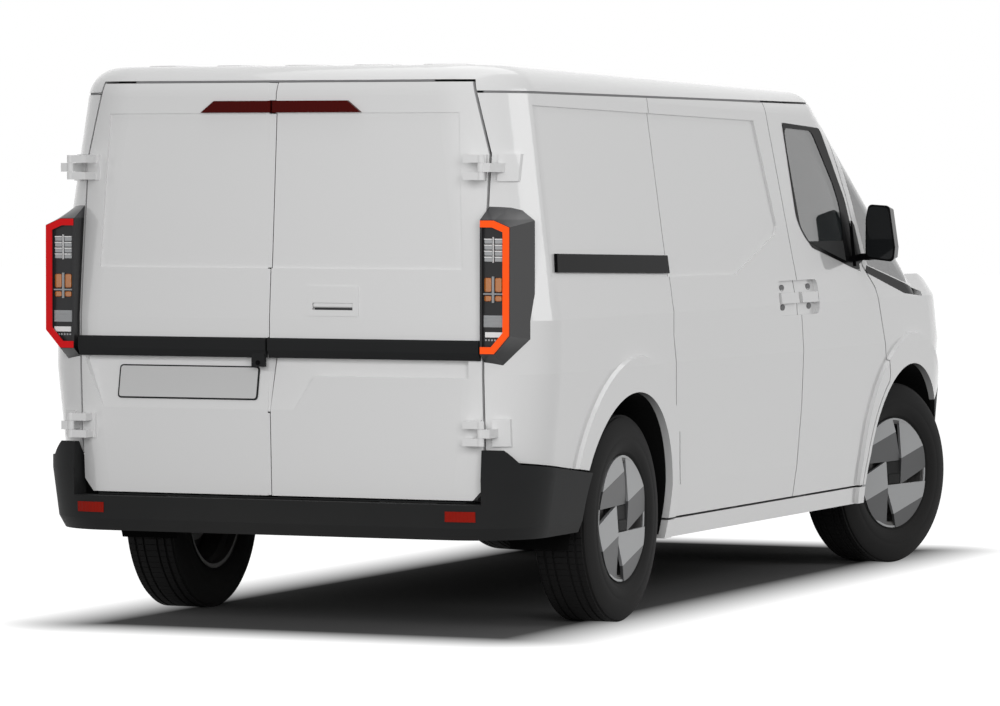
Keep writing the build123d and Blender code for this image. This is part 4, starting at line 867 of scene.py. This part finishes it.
# each row: name, finish, columns across, rows up, height over the lamp's floor, rounded edge
lamp_groups = (
    ("clear_cells", clear_cell, lamp_columns, clear_rows, 0.004, 0.0015),
    ("white_tops", white_bar, lamp_columns, clear_tops, 0.006, 0.0008),
    ("clear_post", white_bar, [(0.8040, 0.8075)], [(1.277, 1.363)], 0.007, 0.0008),
    ("amber_bulbs", amber_bulb, bulb_columns, bulb_rows, 0.006, 0.0055),
    ("amber_post", grey_reflector, [(0.8015, 0.8095)], [(1.143, 1.231)], 0.008, 0.001),
    ("amber_cross", grey_reflector, [lamp_whole], [(1.170, 1.175)], 0.0078, 0.001),
    ("rib_back", grey_reflector, [lamp_whole], [(1.061, 1.101)], 0.003, 0.001),
    ("rib_lines", clear_cell, [(0.772, 0.840)], rib_rows, 0.0055, 0.0008),
    ("bright_bar", white_bar, [(0.776, 0.840)], [(1.027, 1.045)], 0.006, 0.0015),
    ("small_dashes", clear_cell, dash_columns, [(1.015, 1.021)], 0.005, 0.0008),
)
for side, side_name in sides:
    for name, finish, columns, rows, height, edge in lamp_groups:
        shape = bmesh.new()
        for inner, outer in columns:
            for low_z, high_z in rows:
                ends = sorted((side * inner, side * outer))
                block = box_shape((-height, ends[0], low_z), (0.0005, ends[1], high_z), edge, 2)
                bmesh.ops.translate(block, vec=(lamp_floor_x, 0, 0), verts=block.verts)
                shape = joined([shape, block])
        new_piece(f"lamp_{name}_{side_name}", shape, finish, "body")
print("filled both tail lamps")

# %% [markdown]
# ## Number plate
# The plate is blank. It leans with the slope of its recess in the left rear door, held in a thin
# black frame with rounded corners.

# %% Blank plate in its frame
plate_white = Finish("plate_white", (0.60, 0.60, 0.60), 0.4, coat=0.3).grain(30.0, 0.0002)
recess_low = Vector((-2.444, 0, 0.761))
recess_high = Vector((-2.408, 0, 0.946))
recess_up = (recess_high - recess_low).normalized()
recess_out = Vector((-recess_up.z, 0, recess_up.x))
plate_middle = 0.345


def on_recess(shape, lift):
    """Stands a shape drawn as (out, across, up) on the sloping recess."""
    start = recess_low + recess_out * lift
    turn = Matrix((recess_out, Vector((0, 1, 0)), recess_up)).transposed().to_4x4()
    bmesh.ops.transform(shape, matrix=Matrix.Translation(start) @ turn, verts=shape.verts)
    return shape


def plate_shape(half_width, low, high, depth, corner):
    """A plate with rounded corners, drawn as (out, across, up)."""
    left, right = plate_middle - half_width, plate_middle + half_width
    outline = ((left, low), (right, low), (right, high), (left, high))
    return plate_of([(0, y, z) for y, z in rounded(outline, corner)], (depth, 0, 0))


plate_frame = on_recess(plate_shape(0.266, 0.040, 0.157, 0.005, 0.014), 0.0005)
new_piece("plate_frame", plate_frame, grained, "rear_door_left")
plate_face = on_recess(plate_shape(0.261, 0.045, 0.152, 0.002, 0.010), 0.0045)
new_piece("number_plate", plate_face, plate_white, "rear_door_left")
print("a blank plate in its frame")

# %% Reversing camera lens
lens = bmesh.new()
lens_place = Matrix.Translation((-2.4625, 0.0665, 0.930))
add_cone(lens, 32, 0.0085, 0.0085, 0.002, lens_place @ Matrix.Rotation(math.radians(90), 4, "Y"))
bmesh.ops.create_uvsphere(lens, u_segments=24, v_segments=12, radius=0.0055, matrix=lens_place)
new_piece("camera_lens", lens, gloss_black, "rear_door_left")
print("a lens on the reversing camera")

# %% [markdown]
# ## Finger hollows of the side handles
# Behind each handle bar two hollows take the fingers: on both front doors and on the sliding door,
# which belongs to the body. They are shallow dark cups, stretched along the bar, whose grey is
# painted shade in the hollows.

# %% Finger hollows
# a mid grey that stands in for the shade inside the finger hollows: painted shade
hollow_painted_shade = Finish("hollow_painted_shade", (0.17, 0.17, 0.175), 0.6).grain(80.0, 0.0002)
pocket_depth = 0.0180
hollow_section = ((0.0, 0.0010), (0.0080, 0.0010), (0.0092, 0.0022), (0.0100, 0.0018), (0.0104, -0.0010))
hollow_stretch = (2.4, 1.2)
hollow_spots = (
    ("front_door", 1, 0.410, 1.143),
    ("front_door", 1, 0.398, 1.070),
    ("front_door", -1, 0.410, 1.143),
    ("front_door", -1, 0.398, 1.070),
    ("body", -1, 0.110, 1.143),
    ("body", -1, 0.098, 1.070),
)
for index, (owner, side, x, z) in enumerate(hollow_spots):
    surface = side_surface(x, z) if z > shoulder_z else shoulder_half
    cup = spun_shape(hollow_section, 32)
    outward = Matrix.Diagonal((hollow_stretch[0], side, hollow_stretch[1], 1))
    place = Matrix.Translation((x, side * (surface - pocket_depth), z)) @ outward
    bmesh.ops.transform(cup, matrix=place, verts=cup.verts)
    body = owner if owner == "body" else f"{owner}_{'left' if side == 1 else 'right'}"
    new_piece(f"finger_hollow_{index}", cup, hollow_painted_shade, body)
print(len(hollow_spots), "finger hollows")

# %% [markdown]
# ## Flanges and seals in the gaps
# On the real van a gap between panels is not empty: a flange of the next panel or a rubber seal
# lies just under the surface, so that only a thin line shows. Strips drawn flat are laid on the
# rear face in the same way as the trim on the sides.


# %% Strips laid on the rear face
rear_face_x = -2.446
rear_corner = 0.255
belt_z = 0.900
lower_drop = 0.440
lower_lean = 0.043


def rear_surface(y, z):
    """X of the van's rear face and of the round corners beside it."""
    if z > shoulder_z:
        share = (z - shoulder_z) / upper_rise
        half, rear = shoulder_half - upper_lean * share, 0.040 * share
    else:
        share = max(0.0, (belt_z - z) / lower_drop)
        half, rear = shoulder_half - lower_lean * share, 0.012 * share
    past = max(0.0, abs(y) - (half - rear_corner))
    return rear_face_x + rear + rear_corner - math.sqrt(max(0.0, rear_corner**2 - past**2))


def rear_strip(y_low, y_high, levels, out, depth):
    """A strip between two Y values through given heights, proud of the rear face by out."""
    rows = [[(rear_surface(y, z) - out, y, z) for y in (y_low, y_high)] for z in levels]
    return thick_ribbon(rows, (depth, 0, 0))


# the doors' free edges are cut at a slant, so the gap between them grows with the surface's depth
edge_slant = 0.28
split_y = 0.033
split_half = 0.0042
flange_gap = 0.0035
flange_sunk = 0.0006
strip_depth = 0.003
pressing_depth = 0.007
roof_curve_z = 1.836
roof_curve = 0.110
flange_runs = (
    ("low", (0.0, 0.0), (0.478, 0.700, 0.758)),
    ("plate", (0.002, 0.0375), (0.763, 0.800, 0.850, 0.900, 0.944)),
    ("middle", (0.0, 0.0), (1.017, 1.080, 1.250)),
    ("pressed", (pressing_depth, pressing_depth), (1.254, 1.778)),
    ("top", (0.0, 0.0), (1.824, 1.836, 1.850, 1.864, 1.876, 1.883)),
)


def roof_sink(z):
    """How far the roof's rounded edge lies in from the rear face."""
    return roof_curve - math.sqrt(roof_curve**2 - max(0.0, z - roof_curve_z) ** 2)


for name, (first_sink, last_sink), levels in flange_runs:
    rows = []
    for z in levels:
        share = (z - levels[0]) / (levels[-1] - levels[0])
        x = rear_surface(0, z) + first_sink + (last_sink - first_sink) * share + roof_sink(z)
        slant = edge_slant * (x - rear_face_x)
        ends = (split_y - split_half - slant + flange_gap, split_y + split_half + slant)
        rows.append([(x + flange_sunk, y, z) for y in ends])
    strip = thick_ribbon(rows, (strip_depth, 0, 0))
    new_piece(f"split_flange_{name}", strip, white_paint, "rear_door_left")

seam_grey = Finish("seam_grey", (0.22, 0.22, 0.225), 0.6).grain(200.0, 0.0001)
sill_step = box_shape((-2.4320, -0.690, 0.4652), (-2.3400, 0.690, 0.4705), 0.001)
new_piece("sill_step", sill_step, grained, "body")
header_seal = box_shape((-2.3960, -0.560, 1.8850), (-2.3900, 0.560, 1.8910), 0.001)
new_piece("header_seal", header_seal, seam_grey, "body")

seam_z = (1.8465, 1.8535)
seam_half = 0.8333
seam_corner = Vector((-2.156, 0.5783))
seam_radius = 0.2505
seam_inset = 0.0045
for side, side_name in sides:
    path = [(x, seam_half - seam_inset) for x in (0.10, -1.20, seam_corner.x)]
    for step in range(1, 10):
        angle = math.radians(90 - 6 * step)
        along = seam_corner.x - seam_radius * math.cos(angle)
        path.append((along, seam_corner.y + seam_radius * math.sin(angle)))
    rows = [[(x, side * y, z) for z in seam_z] for x, y in path]
    seal = thick_ribbon(rows, (0, -side * strip_depth, 0))
    new_piece(f"roof_seal_{side_name}", seal, seam_grey, "body")
print("flanges and seals in the gaps")

# %% [markdown]
# ## Headlamp insides
# Each headlamp shows a dark bezel with three small lenses and one bright strip below them. They
# are laid along the lamp, whose face follows the round of the nose.

# %% Lenses and light strips on the headlamps
bezel_dark = Finish("bezel_dark", (0.012, 0.012, 0.013), 0.35, specular=0.3).grain(200.0, 0.0002)
lens_clear = Finish("lens_clear", (0.35, 0.37, 0.40), 0.08, coat=1.0).grain(60.0, 0.0002)
lamp_face = (
    (0.450, 2.4365),
    (0.550, 2.4160),
    (0.605, 2.3950),
    (0.650, 2.3710),
    (0.693, 2.3430),
    (0.734, 2.3110),
    (0.771, 2.2770),
    (0.792, 2.2550),
)


def lamp_face_x(y):
    """X of the headlamp's face, straight between the measured points."""
    for (y0, x0), (y1, x1) in zip(lamp_face, lamp_face[1:]):
        if y <= y1:
            return x0 + (x1 - x0) * (y - y0) / (y1 - y0)
    return lamp_face[-1][1]


def lamp_strip(y_from, y_to, z_low, z_high, proud, side):
    """A strip laid along the headlamp's face between two Y values, in eight steps."""
    rows = []
    for step in range(9):
        y = y_from + (y_to - y_from) * step / 8
        rows.append([(lamp_face_x(y) + proud, side * y, z) for z in (z_low, z_high)])
    return thick_ribbon(rows, (-strip_depth, 0, 0))


for side, side_name in sides:
    bezel = lamp_strip(0.500, 0.770, 0.8750, 0.8990, 0.0012, side)
    new_piece(f"headlamp_bezel_{side_name}", bezel, bezel_dark, "body")
    lenses = [lamp_strip(y, y + 0.030, 0.8830, 0.8970, 0.0030, side) for y in (0.560, 0.620, 0.680)]
    new_piece(f"headlamp_lenses_{side_name}", joined(lenses), lens_clear, "body")
    strip = lamp_strip(0.506, 0.764, 0.8770, 0.8805, 0.0026, side)
    new_piece(f"headlamp_strip_{side_name}", strip, white_bar, "body")
print("lenses and strips on both headlamps")

# %% [markdown]
# ## Wheel arch liners
# A thin black felt liner lines each arch just inside its edge, so that the painted lip is all that
# shows of the body's wall. It is an arc of a cylinder whose outer edge follows the body's side.

# %% Liners in the four arches
liner_felt = Finish("liner_felt", (0.008, 0.008, 0.008), 0.95, specular=0.05)
liner_felt.grain(500.0, 0.0006, 3.0)
wheel_height = 0.364
liner_radius = 0.4435
liner_steps = 40
liner_from, liner_to = math.radians(-11), math.radians(191)
lip_width = 0.012
felt_thickness = 0.0008
sill_z, sill_half = 0.460, 0.897


def lower_side(z):
    """Distance of the body's lower side from the van's middle plane."""
    if z < sill_z:
        return 0.866 + (z - 0.265) / 0.195 * 0.031
    return sill_half + min(1.0, (z - sill_z) / lower_drop) * lower_lean


# the front liners start further out, clear of the leaning struts that steer with the wheels
for axle_x, axle_name, inner_edge in ((-1.481, "rear", 0.640), (1.629, "front", 0.665)):
    for side, side_name in sides:
        rows = []
        for step in range(liner_steps + 1):
            angle = liner_from + (liner_to - liner_from) * step / liner_steps
            x = axle_x + liner_radius * math.cos(angle)
            z = wheel_height + liner_radius * math.sin(angle)
            outer_edge = lower_side(z) - lip_width
            rows.append([(x, side * y, z) for y in (inner_edge, outer_edge)])
        liner = ribbon(rows)
        bmesh.ops.recalc_face_normals(liner, faces=liner.faces)
        bmesh.ops.solidify(liner, geom=liner.faces[:], thickness=felt_thickness)
        new_piece(f"arch_liner_{axle_name}_{side_name}", liner, liner_felt, "body")
print("liners in the four arches")

# %% [markdown]
# ## Rear hinges and handle
# Each body leaf of a rear hinge has two slots, drawn as thin dark strips of painted shade on the
# leaf, and two countersunk screws. The right rear door has a grip with a thin dark block of painted
# shade for the opening at its foot.

# %% Slots, screws and grip
# a dark finish put where the slots and the grip's opening hold only shade: painted shade
painted_slot_shade = Finish("painted_slot_shade", (0.03, 0.03, 0.032), 0.6).grain(300.0, 0.0001)
screw_steel = Finish("screw_steel", (0.45, 0.45, 0.46), 0.35, metallic=0.8).grain(500.0, 0.0001)
leaf_proud = 0.0093
screw_y = 0.8180
face_along = Matrix.Rotation(math.radians(90), 4, "Y")
for side, side_name in sides:
    for height, height_name in ((0.705, "low"), (1.595, "high")):
        spot = f"{height_name}_{side_name}"
        slots = []
        for y in (0.7905, 0.8010):
            ends = sorted((side * y, side * (y + 0.0040)))
            levels = (height - 0.020, height + 0.020)
            slots.append(rear_strip(*ends, levels, leaf_proud, 0.0008))
        new_piece(f"hinge_slots_{spot}", joined(slots), painted_slot_shade, "body")
        screws = bmesh.new()
        for z in (height - 0.030, height + 0.030):
            slope = (rear_surface(screw_y + 0.004, z) - rear_surface(screw_y - 0.004, z)) / 0.008
            place = Matrix.Translation((rear_surface(screw_y, z) - leaf_proud, side * screw_y, z))
            turn = Matrix.Rotation(-side * math.atan(slope) + math.pi, 4, "Z") @ face_along
            add_cone(screws, 24, 0.0065, 0.0045, 0.0022, place @ turn)
        new_piece(f"hinge_screws_{spot}", screws, screw_steel, "body")
grip_line = box_shape((-2.4335, -0.2785, 1.1122), (-2.4318, -0.1325, 1.1195), 0.0005)
new_piece("grip_opening", grip_line, painted_slot_shade, "rear_door_right")
grip_bar = box_shape((-2.4455, -0.2785, 1.1215), (-2.4325, -0.1325, 1.1355), 0.003, 3)
new_piece("grip_bar", grip_bar, white_paint, "rear_door_right")
print("slots and screws on four hinges, and a grip")

# %% [markdown]
# ## Seats
# A van seat is moulded foam under a sewn cover, which the foam pushes out between its seams. Each
# pad starts as a block a little smaller than it should end, is remeshed evenly, and is blown up
# by a short cloth simulation. How far a point may move is capped. The seams come afterwards, as
# lines along which the cover is pulled back in.

# %% Pads blown up by a cloth simulation
pad_voxel = 0.010
pad_frames = 20
pad_pressure = 4


def with_modifiers(piece):
    """The piece's mesh as its modifiers make it, as a new mesh."""
    graph = bpy.context.evaluated_depsgraph_get()
    return bpy.data.meshes.new_from_object(piece.evaluated_get(graph))


def puffed(shape, cap):
    """Blows a closed block up as foam does its cover; no point moves further than the cap."""
    mesh = bpy.data.meshes.new("pad")
    shape.to_mesh(mesh)
    shape.free()
    pad = bpy.data.objects.new("pad", mesh)
    scene.collection.objects.link(pad)
    even = pad.modifiers.new("even_faces", "REMESH")
    even.mode = "VOXEL"
    even.voxel_size = pad_voxel
    dense = with_modifiers(pad)
    pad.modifiers.clear()
    pad.data = dense
    cloth = pad.modifiers.new("foam", "CLOTH")
    cloth.settings.use_pressure = True
    cloth.settings.uniform_pressure_force = pad_pressure
    cloth.settings.effector_weights.gravity = 0
    for step in range(1, pad_frames + 1):
        scene.frame_set(step)
    swollen = with_modifiers(pad)
    for vert, moved in zip(dense.vertices, swollen.vertices):
        way = moved.co - vert.co
        vert.co += way.normalized() * min(way.length, cap)
    pad.modifiers.clear()
    scene.frame_set(1)
    result = bmesh.new()
    result.from_mesh(dense)
    bpy.data.objects.remove(pad)
    return result


def seamed(shape, seam_places, width, depth):
    """Pulls the cover in along planes across Y, as a row of stitches does."""
    shape.normal_update()
    for vert in shape.verts:
        near = min(abs(vert.co.y - place) for place in seam_places)
        if near < width:
            vert.co -= vert.normal * depth * (1 - near / width) ** 2
    return shape


seat_middle = 0.420
cushion_outline = ((0.388, 0.766), (0.715, 0.766), (0.768, 0.786), (0.768, 0.862), (0.388, 0.838))
backrest_outline = ((0.276, 0.776), (0.347, 0.776), (0.347, 0.850), (0.191, 1.452), (0.133, 1.452))
headrest_outline = ((0.128, 1.490), (0.182, 1.490), (0.182, 1.622), (0.128, 1.622))
# each row: name, outline as (x, z), half the width, how far a point may move
seat_pads = (
    ("cushion", cushion_outline, 0.234, 0.011),
    ("backrest", backrest_outline, 0.232, 0.010),
    ("headrest", headrest_outline, 0.112, 0.008),
)
seam_width, seam_depth = 0.020, 0.006
pad_sources = {}
for name, outline, half, cap in seat_pads:
    pad_sources[name] = puffed(lofted_flat(outline, -half, half), cap)
for side, side_name in sides:
    middle = side * seat_middle
    for name, _, half, _ in seat_pads:
        shape = pad_sources[name].copy()
        if name != "headrest":
            shape = seamed(shape, (-half * 0.55, half * 0.55), seam_width, seam_depth)
        bmesh.ops.translate(shape, vec=(0, middle, 0), verts=shape.verts)
        replaced = ["seats"] if (name, side_name) == ("cushion", "left") else []
        pad_name = f"seat_{name}_{side_name}"
        piece = new_piece(pad_name, shape, seat_cloth, "body", replaced, smooth=True)
        rounder = piece.modifiers.new("rounder", "SUBSURF")
        rounder.levels = rounder.render_levels = 1
    posts = bmesh.new()
    for offset in (-0.06, 0.06):
        place = Matrix.Translation((0.155, middle + offset, 1.472))
        add_cone(posts, 20, 0.006, 0.006, 0.07, place)
    new_piece(f"headrest_posts_{side_name}", posts, wheel_steel, "body")
for shape in pad_sources.values():
    shape.free()
print("two seats of three pads each")
